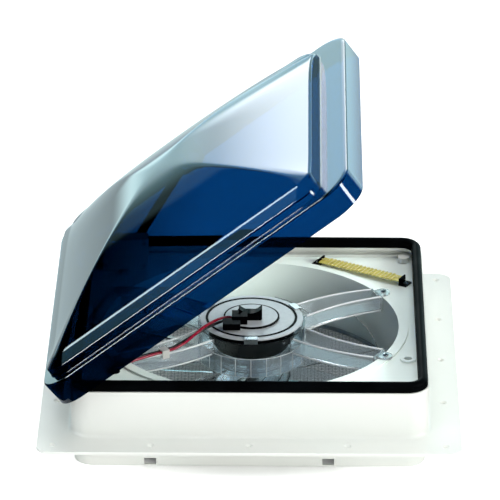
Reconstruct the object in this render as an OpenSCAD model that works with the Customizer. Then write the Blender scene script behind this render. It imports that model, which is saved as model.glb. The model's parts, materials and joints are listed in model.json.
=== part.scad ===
// Caravan roof vent: a square roof frame with a smoked lid that opens on a
// side hinge, a fan on a clear motor bracket, and a geared lid lift.
// Millimetres, +Z up. The origin is the centre of the roof flange's underside,
// +X points to the lid's free side and the lid is drawn open.

/* [Roof flange] */
// Side of the square roof flange
flange_w = 424; // [410:1:460]
// Corner radius of the roof flange
flange_r = 14; // [6:1:18]
// Thickness of the roof flange
flange_t = 3; // [2:0.5:5]
// Diameter of a roof screw hole
roof_hole_d = 4.6; // [3:0.1:6]
// Diameter of the countersink round a roof screw hole
roof_sink_d = 7.4; // [6.4:0.2:8]
// Distance between neighbouring roof screw holes
roof_hole_pitch = 98; // [96:0.5:100]

/* [Upstand and throat] */
// Outside width of the square upstand
upstand_w = 358.6; // [357:0.2:364]
// Corner radius of the upstand, outside
upstand_r = 22; // [16:1:30]
// Height of the upstand's top lip over the roof
upstand_h = 52.9; // [50:0.1:60]
// Wall of the upstand
wall = 3; // [2:0.5:4]
// Width of the inward lip that carries the seal
lip_w = 10.6; // [9:0.1:13]
// Width of the inward ledge over the shroud plate
ledge_w = 9; // [8:0.5:12]
// Radius of the fillet at the foot of the upstand
foot_r = 4; // [2:0.5:6]
// Side of the square cut-out in the roof
roof_opening = 355.6; // [353:0.2:356.4]
// Gap between the throat and the roof cut-out
throat_gap = 1.5; // [1:0.1:3]
// Wall of the throat
throat_wall = 2.5; // [2:0.5:3]
// Depth of the throat under the roof flange
throat_h = 30; // [28:1:60]
// Corner radius of the throat
throat_r = 20; // [10:1:26]
// Width of a snap slot for the inside trim
snap_w = 12; // [8:1:16]

/* [Seal] */
// Width of the lid seal
seal_w = 8.5; // [7:0.1:9]
// Height of the lid seal
seal_h = 7.5; // [6:0.1:9]
// Setback of the seal from the upstand's outer face
seal_setback = 1.2; // [0.5:0.1:1.5]

/* [Shroud] */
// Drop of the shroud plate's top below the upstand's top
plate_drop = 11.9; // [10:0.1:14]
// Thickness of the shroud plate
plate_t = 2.5; // [2:0.5:4]
// Inside radius of the fan duct
duct_r = 152; // [148:0.5:153]
// Wall of the fan duct
duct_wall = 2.2; // [1.6:0.2:3]
// Length of the duct from the plate's top
duct_h = 61; // [56:1:64]
// Width of the raised ring round the duct mouth
ring_w = 10; // [8:0.5:11]
// Height of the raised ring
ring_h = 2; // [1:0.5:3]
// Diameter of a shroud screw
shroud_screw_d = 3.2; // [2.5:0.1:4]

/* [Fan] */
// Number of fan blades
blade_count = 10; // [6:1:12]
// Gap between the blade tips and the duct
tip_gap = 4; // [2:0.5:8]
// Radius of the fan hub
hub_r = 40; // [34:1:44]
// Height of the fan hub
hub_h = 24; // [20:1:26]
// Thickness of a blade
blade_t = 2; // [1.5:0.1:3]
// Diameter of the motor shaft
shaft_d = 8; // [6:0.5:10]

/* [Motor and bracket] */
// Radius of the motor drum
motor_r = 44; // [40:0.5:46]
// Height of the motor drum
motor_h = 18.5; // [15:0.5:21]
// Radius of the motor's top plate
disc_r = 53; // [50:0.5:54]
// Thickness of the motor's top plate
disc_t = 2; // [1.5:0.5:3]
// Height of the motor's top plate over the shroud plate
disc_rise = 10; // [8:0.5:12]
// Outside radius of the bracket's cup
cup_r = 55.5; // [55.5:0.5:60]
// Wall of the clear bracket
clear_t = 2; // [1.6:0.2:3]
// Depth of a bracket arm
arm_depth = 16.5; // [12:0.5:18]
// Width of an arm at the cup
arm_w_in = 30; // [24:1:34]
// Width of an arm at the ring
arm_w_out = 22; // [20:1:26]
// Sideways bow of an arm
arm_bow = 5; // [0:1:8]

/* [Resistor] */
// Length of the speed resistor's card
card_l = 96; // [90:1:104]
// Width of the card
card_w = 13; // [10:0.5:15]
// Height of the card over the plate
card_rise = 5; // [4:0.5:8]
// Turns of the resistor winding
turns = 18; // [8:1:18]
// Diameter of the resistor wire
coil_d = 1; // [0.6:0.1:1.4]

/* [Lid] */
// Wall of the lid
lid_t = 2.5; // [2:0.5:3.5]
// Corner radius of the lid
lid_r = 38; // [30:1:44]
// Depth of the lid's skirt
skirt_h = 26.4; // [20:0.2:28]
// Gap between the upstand and the skirt on the near and far sides
side_gap = 15.8; // [12:0.2:20]
// Gap between the upstand and the skirt on the free side
free_gap = 3.6; // [3:0.2:8]
// Gap between the upstand and the skirt on the hinge side
hinge_gap = 11; // [11:0.1:14]
// Height of the closed lid's rim over the seal
rim_rise = 7.5; // [6:0.1:9]
// Width of the flat rim on the hinge, near and far sides
rim_w = 10; // [8:0.5:11]
// Width of the flat rim on the free side
rim_free_w = 30; // [24:1:34]
// Height of the lower step round the dome
step_h = 5.5; // [4:0.5:7]
// Height of the dome's foot over the rim
plinth_h = 10; // [8.5:0.5:14]
// Inset of the upper step from the lower step
step_in = 5; // [3:0.5:6]
// Inset of the dome's foot from the upper step
foot_in = 8; // [6:0.5:9]
// Rise of the dome over its foot
dome_h = 49.5; // [42:0.5:60]
// Angle of the open lid
lid_open = 37.8; // [20:0.1:45]

/* [Hinge] */
// Distance of the hinge pin outside the upstand
hinge_out = 7.7; // [7:0.1:7.9]
// Drop of the hinge pin below the top of the seal
hinge_drop = 15.4; // [14:0.1:18]
// Distance of each hinge from the middle
hinge_y = 110; // [60:1:130]
// Length of a hinge
hinge_l = 36; // [30:1:44]
// Diameter of the hinge pin
pin_d = 4; // [3:0.1:4.2]
// Thickness of a hinge leaf
leaf_t = 1.5; // [1:0.1:2]

/* [Lid lift] */
// Place of the lift arm's pivot across the vent
lift_x = -128.3; // [-132:0.1:-124]
// Height of the lift arm's pivot over the shroud plate
lift_rise = 19; // [18:0.5:21]
// Place of the lift arm along the hinge
lift_y = 150; // [148:0.5:153]
// Angle of the lift arm when the lid is open
lift_open = 60; // [57:0.5:63]
// Width of the lift arm
lift_w = 9; // [8:0.5:11]
// Thickness of the lift arm
lift_t = 3; // [2:0.5:4]
// Diameter of the roller at the arm's end
roller_d = 8; // [6:0.5:9]
// Drop of the roller's slot below the lid's rim
slot_drop = 4; // [2:0.5:6]
// Diameter of the lift arm's shaft
lift_shaft_d = 6; // [5:0.5:8]
// Teeth of the worm wheel
wheel_teeth = 28; // [24:1:28]
// Module of the worm wheel
gear_module = 1; // [0.9:0.05:1]
// Pitch radius of the worm
worm_r = 5; // [4.6:0.1:5.4]
// Diameter of the crank spindle
spindle_d = 5; // [4:0.5:5]
// Diameter of the crank knob
knob_d = 32; // [26:1:36]

/* [Clearances] */
// Running clearance round a pin or a shaft
run_gap = 0.05; // [0.03:0.01:0.1]
// Clearance between pieces that slot together
slip_gap = 0.4; // [0.3:0.05:0.6]
// Clearance between moving pieces that do not touch
free_air = 1.2; // [0.8:0.1:1.6]

/* [Hidden] */
$fn = 64;

// Heights of the fixed pieces
seal_top = upstand_h + seal_h;
plate_top = upstand_h - plate_drop;
plate_low = plate_top - plate_t;
duct_low = plate_top - duct_h;
ring_top = plate_top + ring_h;
ring_r = duct_r + ring_w;

// Half widths of the fixed pieces: a wider duct pushes the throat, the upstand and the corners out
plate_edge = 11.8;
throat_fit = roof_opening / 2 - throat_gap - throat_wall;
throat_in = max(throat_fit, ring_r + plate_edge);
throat_half = throat_in + throat_wall;
up_half = max(upstand_w / 2, throat_half + wall);
spread = throat_in - throat_fit;
// Roof screw holes lie a little outside the middle of the flange's free rim
roof_hole_out = 0.35;
roof_hole_line = (flange_w / 2 + up_half) / 2 + roof_hole_out;
plate_half = throat_in - slip_gap;
plate_r = throat_r - throat_wall;
seal_half = up_half - seal_setback;
seal_r = upstand_r - seal_setback;
boss_edge = 13.4;
corner_boss = plate_half - boss_edge;
corner_boss_r = 6;
corner_boss_h = 6;
shroud_head_r = 3.4;
shroud_head_h = 2;
trim_boss_y = 78;
trim_boss_r = 8;
trim_hole_r = 4;
snap_xs = [-99.5, 79];
snap_h = 7;
snap_up = 1.4;

// Insect screen under the duct
screen_t = 3;
screen_in = 4;
screen_out = 2;
screen_r = duct_r - screen_in;
strand_w = 1.2;
strand_t = 1;
net_pitch = 16.4;
net_half_count = floor(screen_r / net_pitch);

// Motor and bracket heights
disc_top = plate_top + disc_rise;
drum_top = disc_top - disc_t;
drum_low = drum_top - motor_h;
arm_tab_t = 2.5;
arm_top = ring_top + arm_tab_t;
arm_low = arm_top - arm_depth;
cup_rim_up = 0.6;
cup_top = arm_top + cup_rim_up;
can_h = 9;
cup_floor = drum_low - can_h - clear_t;
can_in = 6;
can_r = motor_r - can_in;
arm_angles = [29, 151, 213, -29];
arm_bows = [1, -1, 1, -1];
arm_r_in = cup_r - clear_t / 2;
arm_r_out = duct_r + ring_w / 2;
arm_tab_r = 7;
arm_screw_d = 3;
arm_head_r = 3;
arm_head_h = 1.8;
arm_steps = 8;
gusset_count = 24;
shaft_in = 8;
hub_step_r = 27;
hub_step_h = 2;
hub_ring_w = 1.8;
hub_ring_t = 1.7;
plate_ring_r = 46;
plate_ring_w = 2.6;
plate_ring_t = 1;
plate_ring_proud = 0.3;
motor_clip_w = 14;
motor_clip_t = 1;
clip_reach = 5;
clip_over = 2;
clip_angles = [-90, 30, 150];

// Fan heights and blade shape
fan_lift = 2;
fan_low = duct_low + fan_lift;
fan_top = fan_low + hub_h;
fan_gap = 2.5;
cup_foot_h = cup_floor - fan_top - fan_gap;
hub_wall = 2.5;
hub_boss_r = 8;
fan_clip_t = 1.5;
fan_clip_w = 4;
shaft_out = 1;
shaft_end_gap = 2.4;
blade_root = 1.5;
blade_chord_in = 30;
blade_chord_out = 52;
blade_pitch_in = 46;
blade_pitch_out = 24;
blade_stations = 6;
blade_cells = 4;
blade_camber = 0.08;

// Closed lid: hinge side, free side and half depth of each outline
lid_z = seal_top + rim_rise;
lid_x0 = -up_half - hinge_gap - lid_t;
lid_x1 = up_half + free_gap + lid_t;
lid_half = up_half + side_gap + lid_t;
dome_in = rim_w + step_in + foot_in;
dome_x0 = lid_x0 + dome_in;
step_free_in = 0.5;
dome_free_in = 1.5;
dome_x1 = lid_x1 - rim_free_w - dome_free_in;
dome_half = lid_half - dome_in;
dome_power = 1.8;
dome_steps = 14;
dome_sink = 5;
dome_skin = 0.4;
plinth_r = 14;
rib_t = 3;
rib_gap = 0.6;

// Hinge line
hinge_x = -up_half - hinge_out;
hinge_z = seal_top - hinge_drop;
knuckle_wall = 1;
knuckle_r = pin_d / 2 + knuckle_wall;
pin_head_t = 1.5;
pin_head_w = 0.8;
knuckle_mid = 16;
knuckle_side = (hinge_l - knuckle_mid) / 2 - slip_gap;
lid_leaf_up = lid_z - lid_t - slip_gap - hinge_z;
leaf_low = 22;
leaf_up = 5;
leaf_screw_edge = 7.9;
leaf_screw_y = hinge_l / 2 - leaf_screw_edge;
leaf_screw_drop = 14;
leaf_screw_d = 3;
leaf_head_r = 2.6;
leaf_head_h = 1.4;
rivet_d = 3.2;
rivet_up = 13;
rivet_head_h = 1.2;

// Lift arm: its length puts the roller on the slot when the lid is open
pivot_x = lift_x - spread;
pivot_y = lift_y + spread;
lift_z = plate_top + lift_rise;
slot_z = lid_z - slot_drop;
lift_dx = pivot_x - hinge_x;
lift_dz = lift_z - hinge_z;
slot_dz = slot_z - hinge_z;
lift_l = (slot_dz + lift_dx * sin(lid_open) - lift_dz * cos(lid_open)) / sin(lift_open - lid_open);
lift_closed = asin((slot_dz - lift_dz) / lift_l);
lift_ratio = (lift_open - lift_closed) / lid_open;
crank_ratio = lift_ratio * wheel_teeth;
tip_open_dx = lift_dx + lift_l * cos(lift_open);
tip_open_dz = lift_dz + lift_l * sin(lift_open);
slot_x_open = hinge_x + tip_open_dx * cos(lid_open) + tip_open_dz * sin(lid_open);
slot_x_closed = pivot_x + lift_l * cos(lift_closed);
bracket_t = 3;
bracket_y = pivot_y - free_air - bracket_t;
bracket_edge = 5;
slot_over = 2;
roller_l = pivot_y - bracket_y + free_air;
roller_pin_r = 2;
lift_eye_w = 3;

// Worm gear and its housing
wheel_r = gear_module * wheel_teeth / 2;
wheel_w = 8;
tooth_up = 0.7 * gear_module;
tooth_down = gear_module;
tooth_tip_share = 0.13;
tooth_root_share = 0.27;
wheel_set = 10;
wheel_y = pivot_y - wheel_set;
worm_x = pivot_x - wheel_r - worm_r;
worm_lead = PI * gear_module;
worm_l = 20;
worm_sides = 24;
worm_rows = 8;
worm_root_gap = 0.3;
worm_root = worm_r - tooth_up - worm_root_gap;
worm_tip = worm_r + 0.6 * gear_module;
thread_tip_share = 0.08;
thread_root_share = 0.24;
house_wall = 2;
house_post_r = 2.6;
house_x0 = worm_x - spindle_d / 2 - free_air - 2 * house_post_r - house_wall;
house_x1 = pivot_x + wheel_r + tooth_up + free_air + house_wall;
house_half = max(wheel_w / 2, worm_tip) + free_air + house_wall;
house_y0 = wheel_y - house_half;
house_y1 = wheel_y + house_half;
house_top = lift_z + wheel_r + tooth_up + free_air + house_wall;
house_screw_d = 2.5;
house_ear_r = 4.5;
house_ear_t = 3;
cover_t = 2;
cover_screw_d = 2;
cover_screw_in = 7;
cover_head_h = 1.4;
cover_screw_edge = house_wall + house_post_r - 0.6;
house_mid_x = (house_x0 + house_x1) / 2;
house_ear_shift = 10;
house_ear_reach = house_ear_r + cover_t + slip_gap;
// Each ear's place across the vent, the wall it grows from and its direction
house_ears = [
  [house_mid_x - house_ear_shift, house_y1, 1],
  [house_mid_x + house_ear_shift, house_y1, 1],
  [house_mid_x, house_y0, -1]
];
knob_up = 3;
knob_low = -throat_h + knob_up;
knob_h = 18;
knob_neck_h = 6;
knob_grips = 6;
knob_grip_r = 5;
knob_bore_l = 12;

// Speed switch
switch_x = worm_x;
switch_y = -wheel_y;
switch_l = 30;
switch_w = 30;
switch_h = 24;
switch_low = plate_low - switch_h;
switch_ear_r = 4.5;
switch_ear_t = 2.5;
switch_screw_d = 2.5;
switch_collar_r = 5;
switch_collar_h = 6;
speed_shaft_d = 6;
speed_shaft_in = 10;
speed_knob_d = 28;
speed_knob_h = 16;
speed_skirt_h = 4;
speed_skirt_in = 1.5;
speed_top_in = 4;
pointer_w = 4;
pointer_out = 1.5;
knob_floor = 2;

// Resistor place, its centre and turn in plan
card_x = 115;
card_y = 129;
card_turn = -29.4;
card_t = 1;
card_z = plate_top + card_rise;
coil_lead = 8;
coil_pitch = (card_l - 2 * coil_lead) / turns;
coil_lift = 0.5;
coil_half_w = card_w / 2 + coil_d / 2 + coil_lift;
coil_half_h = card_t / 2 + coil_d / 2 + coil_lift;
coil_rings = 24;
coil_sides = 6;
term_l = 9;
term_t = 1.5;
term_screw_d = 2.6;
term_head_r = 2.4;
term_head_h = 1.4;
term_up = 3;

// Wire routes, round numbers chosen by hand, from the connector to the switch
wire_d = 2.2;
wire_sides = 8;
wire_steps = 2;
red_route = [
  [-20, -9, 55], [-25, -9.5, 55.4], [-33, -15, 56], [-42, -25, 56], [-50, -35, 55], [-58, -46, 52.5],
  [-66, -57, 50], [-75, -66.5, 48.2], [-82, -71.2, 47.5], [-87.4, -74.7, 47.5], [-94, -79, 47.5],
  [-106, -87, 47.5], [-121, -98, 47.5], [-131, -104.5, 47], [-136.2, -107.8, 44.5], [-136.5, -108, 39],
  [-136.5, -109, 32], [-137, -113, 27.5], [-138.5, -119, 26.5], [-138.5, -125, 26.5]
];
black_route = [
  [-20, -13, 54.4], [-25, -13.5, 54.3], [-33, -19, 54], [-42, -27, 53.6], [-51, -36, 52.5], [-60, -45, 50.8],
  [-70, -55, 48.8], [-77.5, -63, 47.8], [-83.5, -68.4, 47.5], [-89, -72.2, 47.5], [-95.5, -76.4, 47.5],
  [-108, -84, 47.5], [-123, -94.5, 47.5], [-133, -102, 47.5], [-139.2, -107, 45], [-139.5, -108, 39],
  [-139.5, -109, 32], [-140.5, -113, 27.5], [-143, -119, 26.5], [-143, -125, 26.5]
];
grommet_x = -138;
grommet_y = -108;
grommet_r = 5;
grommet_hole_r = 3.4;
grommet_lip_w = 1.5;
grommet_lip_t = 1.5;
clip_r = 114;
clip_l = 8;
clip_side = 13.6;
clip_w = 9.4;
clip_wire_z = 47.5;
clip_wire_ys = [12, 15];
clip_top = clip_wire_z + 2.5;
clip_hole_r = 1.6;
clip_drop = 5;
clip_slack = 0.8;

// Connector block on the motor's top plate: width, depth and height of its steps
plug_size = [16, 16, 9];
plug_at = [-20, -22, 0];
nose_size = [18, 14.5, 7];
nose_at = [-29, -36, 0];
mid_size = [24, 16, 6];
mid_at = [-14, -12, 0];
back_size = [24, 10, 12];
back_at = [-13, -10, 0];
dish_r = 14.6;
dish_deep = 5;

// Shared shapes

module rounded_rect(x0, x1, half_y, r) {
  translate([x0 + r, -half_y]) square([x1 - x0 - 2 * r, 2 * half_y]);
  translate([x0, -half_y + r]) square([x1 - x0, 2 * half_y - 2 * r]);
  for (x = [x0 + r, x1 - r], y = [-half_y + r, half_y - r]) translate([x, y]) circle(r);
}

module rounded_square(half, r) {
  rounded_rect(-half, half, half, r);
}

// Carries a 2-D profile round a rounded square: its X is the distance out from
// the square's side, its Y is the height.
module swept_square(half, r) {
  run = half - r;
  for (turn = [0:90:270]) rotate(turn) {
    translate([half, run, 0]) rotate([90, 0, 0]) linear_extrude(2 * run) children();
    translate([run, run, 0]) rotate_extrude(angle = 90) translate([r, 0]) children();
  }
}

module along_y(r, y0, y1) {
  translate([0, y0, 0]) rotate([-90, 0, 0]) cylinder(r = r, h = y1 - y0);
}

// Puts a piece drawn on the closed lid where the open lid carries it
module on_open_lid() {
  translate([hinge_x, 0, hinge_z]) rotate([0, -lid_open, 0]) translate([-hinge_x, 0, -hinge_z]) children();
}

// Turns a piece drawn along a level arm to the open arm's angle
module on_open_arm() {
  translate([pivot_x, 0, lift_z]) rotate([0, -lift_open, 0]) children();
}

module pan_screw(head_r, head_h, d, l) {
  cylinder(r = head_r, h = head_h);
  translate([0, 0, -l]) cylinder(d = d, h = l);
}

// A smooth route through hand-set points
function curve_point(p, i, t) =
  let (a = p[max(i - 1, 0)], b = p[i], c = p[i + 1], d = p[min(i + 2, len(p) - 1)])
  0.5 * (2 * b + (c - a) * t + (2 * a - 5 * b + 4 * c - d) * t * t + (3 * b - a - 3 * c + d) * t * t * t);
function smooth_route(p, steps) = concat(
  [for (i = [0:len(p) - 2], k = [0:steps - 1]) curve_point(p, i, k / steps)], [p[len(p) - 1]]);

function unit(v) = v / norm(v);
function heading(p, i) = unit(p[min(i + 1, len(p) - 1)] - p[max(i - 1, 0)]);
function side_of(d) = abs(d[2]) < 0.9 ? unit(cross(d, [0, 0, 1])) : unit(cross(d, [0, 1, 0]));
// Carries the ring's side vector along the route without twist
function carried(p, i, last) = let (d = heading(p, i)) unit(last - (last * d) * d);
function ring_sides(p, i = 0, last = undef, out = []) =
  i == len(p) ? out :
  let (s = i == 0 ? side_of(heading(p, 0)) : carried(p, i, last)) ring_sides(p, i + 1, s, concat(out, [s]));

module tube(path, r, sides) {
  n = len(path);
  across = ring_sides(path);
  points = [for (i = [0:n - 1], k = [0:sides - 1])
    let (d = heading(path, i), s = across[i], u = cross(d, s), a = 360 * k / sides)
    path[i] + r * (cos(a) * s + sin(a) * u)];
  walls = [for (i = [0:n - 2], k = [0:sides - 1], f = [0, 1])
    let (m = (k + 1) % sides, a = i * sides + k, b = i * sides + m, c = a + sides, d = b + sides)
    f == 0 ? [a, c, d] : [a, d, b]];
  caps = [for (k = [1:sides - 2], f = [0, 1])
    let (e = (n - 1) * sides) f == 0 ? [0, k, k + 1] : [e, e + k + 1, e + k]];
  polyhedron(points, concat(walls, caps), convexity = 10);
}

// Roof frame

module upstand_profile() {
  translate([-wall, 0]) square([wall, upstand_h]);
  translate([-lip_w, upstand_h - wall]) square([lip_w, wall]);
  translate([-ledge_w, plate_top]) square([ledge_w, wall]);
  difference() {
    translate([0, flange_t]) square(foot_r);
    translate([foot_r, flange_t + foot_r]) circle(foot_r);
  }
}

module roof_holes() {
  for (turn = [0:90:270], y = [-roof_hole_pitch, 0, roof_hole_pitch, roof_hole_line])
    rotate(turn) translate([roof_hole_line, y, 0]) {
      translate([0, 0, -1]) cylinder(d = roof_hole_d, h = flange_t + 2);
      translate([0, 0, flange_t - (roof_sink_d - roof_hole_d) / 2])
        cylinder(d1 = roof_hole_d, d2 = roof_sink_d, h = (roof_sink_d - roof_hole_d) / 2);
    }
}

module at_shroud_screws() {
  for (x = [-1, 1], y = [-1, 1]) translate([x * corner_boss, y * corner_boss, plate_low]) children();
}

module at_leaf_screws() {
  for (side = [-1, 1], k = [-1, 1])
    translate([-up_half - leaf_t, side * hinge_y + k * leaf_screw_y, hinge_z - leaf_screw_drop])
      rotate([0, -90, 0]) children();
}

module base_frame() color("whitesmoke") difference() {
  union() {
    linear_extrude(flange_t) difference() {
      rounded_square(flange_w / 2, flange_r);
      rounded_square(throat_in, throat_r - throat_wall);
    }
    swept_square(up_half, upstand_r) upstand_profile();
    translate([0, 0, -throat_h]) linear_extrude(throat_h + flange_t) difference() {
      rounded_square(throat_half, throat_r);
      rounded_square(throat_in, throat_r - throat_wall);
    }
    at_shroud_screws() translate([0, 0, plate_t]) cylinder(r = corner_boss_r, h = corner_boss_h);
  }
  roof_holes();
  for (x = snap_xs)
    translate([x - snap_w / 2, -throat_half - 1, -throat_h + snap_up])
      cube([snap_w, 2 * throat_half + 2, snap_h]);
  at_shroud_screws() cylinder(d = shroud_screw_d + 2 * run_gap, h = plate_t + corner_boss_h - 1);
  at_leaf_screws() translate([0, 0, -leaf_t - wall - 1])
    cylinder(d = leaf_screw_d + 2 * run_gap, h = wall + 2);
}

// Flat sides under a round crown
module seal_profile() {
  crown_z = seal_h - seal_w / 2;
  square([seal_w, crown_z]);
  intersection() {
    translate([seal_w / 2, crown_z]) circle(seal_w / 2);
    square([seal_w, seal_h]);
  }
}

module lid_seal() color("black") swept_square(seal_half, seal_r)
  translate([-seal_w, upstand_h]) seal_profile();

// Shroud, screen and speed resistor

module at_trim_boss() {
  translate([corner_boss, -trim_boss_y, plate_top]) children();
}

module at_arm_screws() {
  for (a = arm_angles) rotate(a) translate([arm_r_out, 0, arm_top]) children();
}

module at_card(along) {
  translate([card_x + spread, card_y + spread, 0]) rotate(card_turn) translate([along, 0, 0]) children();
}

module at_grommet() {
  translate([grommet_x - spread, grommet_y - spread, 0]) children();
}

module at_resistor_screws() {
  for (s = [-1, 1]) at_card(s * (card_l / 2 + term_l / 2)) translate([0, 0, plate_top + term_t]) children();
}

module fan_shroud() color("white") difference() {
  union() {
    translate([0, 0, plate_low]) linear_extrude(plate_t) rounded_square(plate_half, plate_r);
    translate([0, 0, plate_top]) cylinder(r = ring_r, h = ring_h, $fn = 128);
    translate([0, 0, duct_low]) cylinder(r = duct_r + duct_wall, h = duct_h, $fn = 128);
    at_trim_boss() cylinder(r = trim_boss_r, h = ring_h);
  }
  translate([0, 0, duct_low - 1]) cylinder(r = duct_r, h = duct_h + ring_h + 2, $fn = 128);
  at_trim_boss() translate([0, 0, -plate_t - 1]) cylinder(r = trim_hole_r, h = plate_t + ring_h + 2);
  at_shroud_screws() translate([0, 0, -1]) cylinder(d = shroud_screw_d + 2 * slip_gap, h = plate_t + 2);
  at_arm_screws() translate([0, 0, -arm_tab_t - ring_h - plate_t - 1])
    cylinder(d = arm_screw_d + 2 * run_gap, h = ring_h + plate_t + 2);
  at_resistor_screws() translate([0, 0, -term_t - plate_t - 1])
    cylinder(d = term_screw_d + 2 * run_gap, h = plate_t + 2);
  translate([worm_x, wheel_y, plate_low - 1]) cylinder(d = spindle_d + 2 * free_air, h = plate_t + 2);
  at_grommet() translate([0, 0, plate_low - 1]) cylinder(r = grommet_r, h = plate_t + 2);
  at_house_screws() translate([0, 0, -house_ear_t - plate_t - 1])
    cylinder(d = house_screw_d + 2 * run_gap, h = plate_t + 2);
  at_switch_screws() translate([0, 0, switch_ear_t - 1])
    cylinder(d = switch_screw_d + 2 * run_gap, h = plate_t + 2);
}

module shroud_screws() color("silver") at_shroud_screws() rotate([180, 0, 0])
  pan_screw(shroud_head_r, shroud_head_h, shroud_screw_d, plate_t + corner_boss_h - 2);

module insect_screen_ring() color("gray") translate([0, 0, duct_low - screen_t]) difference() {
  cylinder(r = duct_r + duct_wall + screen_out, h = screen_t, $fn = 128);
  translate([0, 0, -1]) cylinder(r = screen_r, h = screen_t + 2, $fn = 128);
}

// A square net of flat strands, cut to the ring's inside
module insect_screen_net() color("darkgray") translate([0, 0, duct_low - screen_t / 2 - strand_t / 2])
  linear_extrude(strand_t) intersection() {
    circle(screen_r, $fn = 128);
    for (turn = [0, 90], k = [-net_half_count:net_half_count])
      rotate(turn) translate([k * net_pitch - strand_w / 2, -screen_r]) square([strand_w, 2 * screen_r]);
  }

module resistor_card() color("goldenrod") at_card(-card_l / 2)
  translate([0, -card_w / 2, card_z - card_t / 2]) cube([card_l, card_w, card_t]);

// The winding: square-shouldered turns that advance along the card, straight at both ends
function shouldered(v) = sign(v) * sqrt(abs(v));
function coil_point(a) = [
  a / 360 * coil_pitch - turns * coil_pitch / 2,
  coil_half_w * shouldered(sin(a)),
  coil_half_h * shouldered(cos(a))
];
coil_turns = [for (k = [0:turns * coil_rings]) coil_point(360 * k / coil_rings)];
coil_path = concat(
  [coil_turns[0] - [coil_lead, 0, 0]], coil_turns, [coil_turns[len(coil_turns) - 1] + [coil_lead, 0, 0]]);
// Least distance between strands a turn or so apart, less the wire itself
coil_gap = min([for (k = [0:coil_rings * 2], j = [coil_rings / 2:coil_rings * 2])
  norm(coil_turns[k + j] - coil_turns[k])]) - coil_d;

module resistor_winding() color("darkkhaki") at_card(0) translate([0, 0, card_z]) {
  echo(winding_least_gap = coil_gap);
  tube(coil_path, coil_d / 2, coil_sides);
}

module terminal() {
  difference() {
    union() {
      translate([0, -card_w / 2, plate_top]) cube([term_l, card_w, term_t]);
      translate([0, -card_w / 2, plate_top]) cube([term_t, card_w, card_rise + term_up]);
    }
    translate([term_l / 2, 0, plate_top - 1]) cylinder(d = term_screw_d + 2 * run_gap, h = term_t + 2);
  }
}

module resistor_terminals() color("dimgray") {
  at_card(card_l / 2) terminal();
  at_card(-card_l / 2) rotate(180) terminal();
}

module resistor_screws() color("silver") at_resistor_screws()
  pan_screw(term_head_r, term_head_h, term_screw_d, term_t + plate_t);

// Motor, its clear bracket and its wires

function arm_mid(t) = [arm_r_in + (arm_r_out - arm_tab_r - arm_r_in) * t, 4 * arm_bow * t * (1 - t)];
function arm_half(t) = (arm_w_in + (arm_w_out - arm_w_in) * t) / 2;
function arm_edge(side) = [for (k = [0:arm_steps])
  let (t = k / arm_steps) arm_mid(t) + [0, side * arm_half(t)]];
function reversed(p) = [for (k = [len(p) - 1:-1:0]) p[k]];

module arm_rail(side) {
  outer = arm_edge(side);
  inner = [for (q = outer) q - [0, side * clear_t]];
  linear_extrude(arm_depth) polygon(concat(outer, reversed(inner)));
}

module bracket_arm() {
  end_x = arm_mid(1)[0];
  translate([0, 0, arm_low]) {
    linear_extrude(clear_t) polygon(concat(arm_edge(1), reversed(arm_edge(-1))));
    arm_rail(1);
    arm_rail(-1);
    translate([end_x - clear_t, -arm_w_out / 2, 0]) cube([clear_t, arm_w_out, arm_depth]);
  }
  translate([0, 0, arm_top - arm_tab_t]) linear_extrude(arm_tab_t) {
    translate([end_x - clear_t, -arm_tab_r]) square([arm_tab_r + clear_t, 2 * arm_tab_r]);
    translate([arm_r_out, 0]) circle(arm_tab_r);
  }
}

module cup_profile() {
  translate([cup_r - clear_t, cup_floor]) square([clear_t, cup_top - cup_floor]);
  translate([shaft_d, cup_floor]) square([cup_r - shaft_d, clear_t]);
  translate([can_r, cup_floor - cup_foot_h]) square([clear_t, cup_foot_h]);
}

module gusset() {
  rotate([90, 0, 0]) linear_extrude(clear_t, center = true)
    polygon([[can_r + clear_t / 2, cup_floor - cup_foot_h + clear_t / 2],
      [can_r + clear_t / 2, cup_floor + clear_t / 2], [cup_r - clear_t, cup_floor + clear_t / 2]]);
}

module motor_bracket() color("lightcyan", 0.5) difference() {
  union() {
    difference() {
      for (i = [0:3]) rotate(arm_angles[i]) mirror([0, arm_bows[i] < 0 ? 1 : 0, 0]) bracket_arm();
      translate([0, 0, arm_low - 1]) cylinder(r = cup_r - clear_t / 2, h = arm_depth + 2);
    }
    rotate_extrude($fn = 96) cup_profile();
    for (k = [0:gusset_count - 1]) rotate(360 * k / gusset_count) gusset();
  }
  at_arm_screws() translate([0, 0, -arm_tab_t - 1])
    cylinder(d = arm_screw_d + 2 * slip_gap, h = arm_tab_t + 2);
}

module bracket_screws() color("silver") at_arm_screws()
  pan_screw(arm_head_r, arm_head_h, arm_screw_d, arm_tab_t + ring_h + plate_t);

module motor_case() color("black") difference() {
  rotate_extrude($fn = 96) {
    translate([0, drum_low]) square([motor_r, motor_h]);
    translate([0, cup_floor + clear_t]) square([can_r, drum_low - cup_floor - clear_t]);
  }
  translate([0, 0, cup_floor]) cylinder(d = shaft_d + 2 * run_gap, h = shaft_in + clear_t);
}

module top_plate_profile() difference() {
  union() {
    square([disc_r, disc_t]);
    square([hub_step_r, disc_t + hub_step_h]);
  }
  translate([plate_ring_r - plate_ring_w / 2, disc_t - plate_ring_t])
    square([plate_ring_w, plate_ring_t + 1]);
}

module motor_top_plate() color("lightgray") translate([0, 0, drum_top])
  rotate_extrude($fn = 96) top_plate_profile();

// One ring lies in the plate's groove, the other round its raised middle
module plate_ring() color("black") rotate_extrude($fn = 96) {
  translate([plate_ring_r - plate_ring_w / 2 + run_gap, disc_top - plate_ring_t])
    square([plate_ring_w - 2 * run_gap, plate_ring_t + plate_ring_proud]);
  translate([hub_step_r + run_gap, disc_top]) square([hub_ring_w, hub_ring_t]);
}

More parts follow.
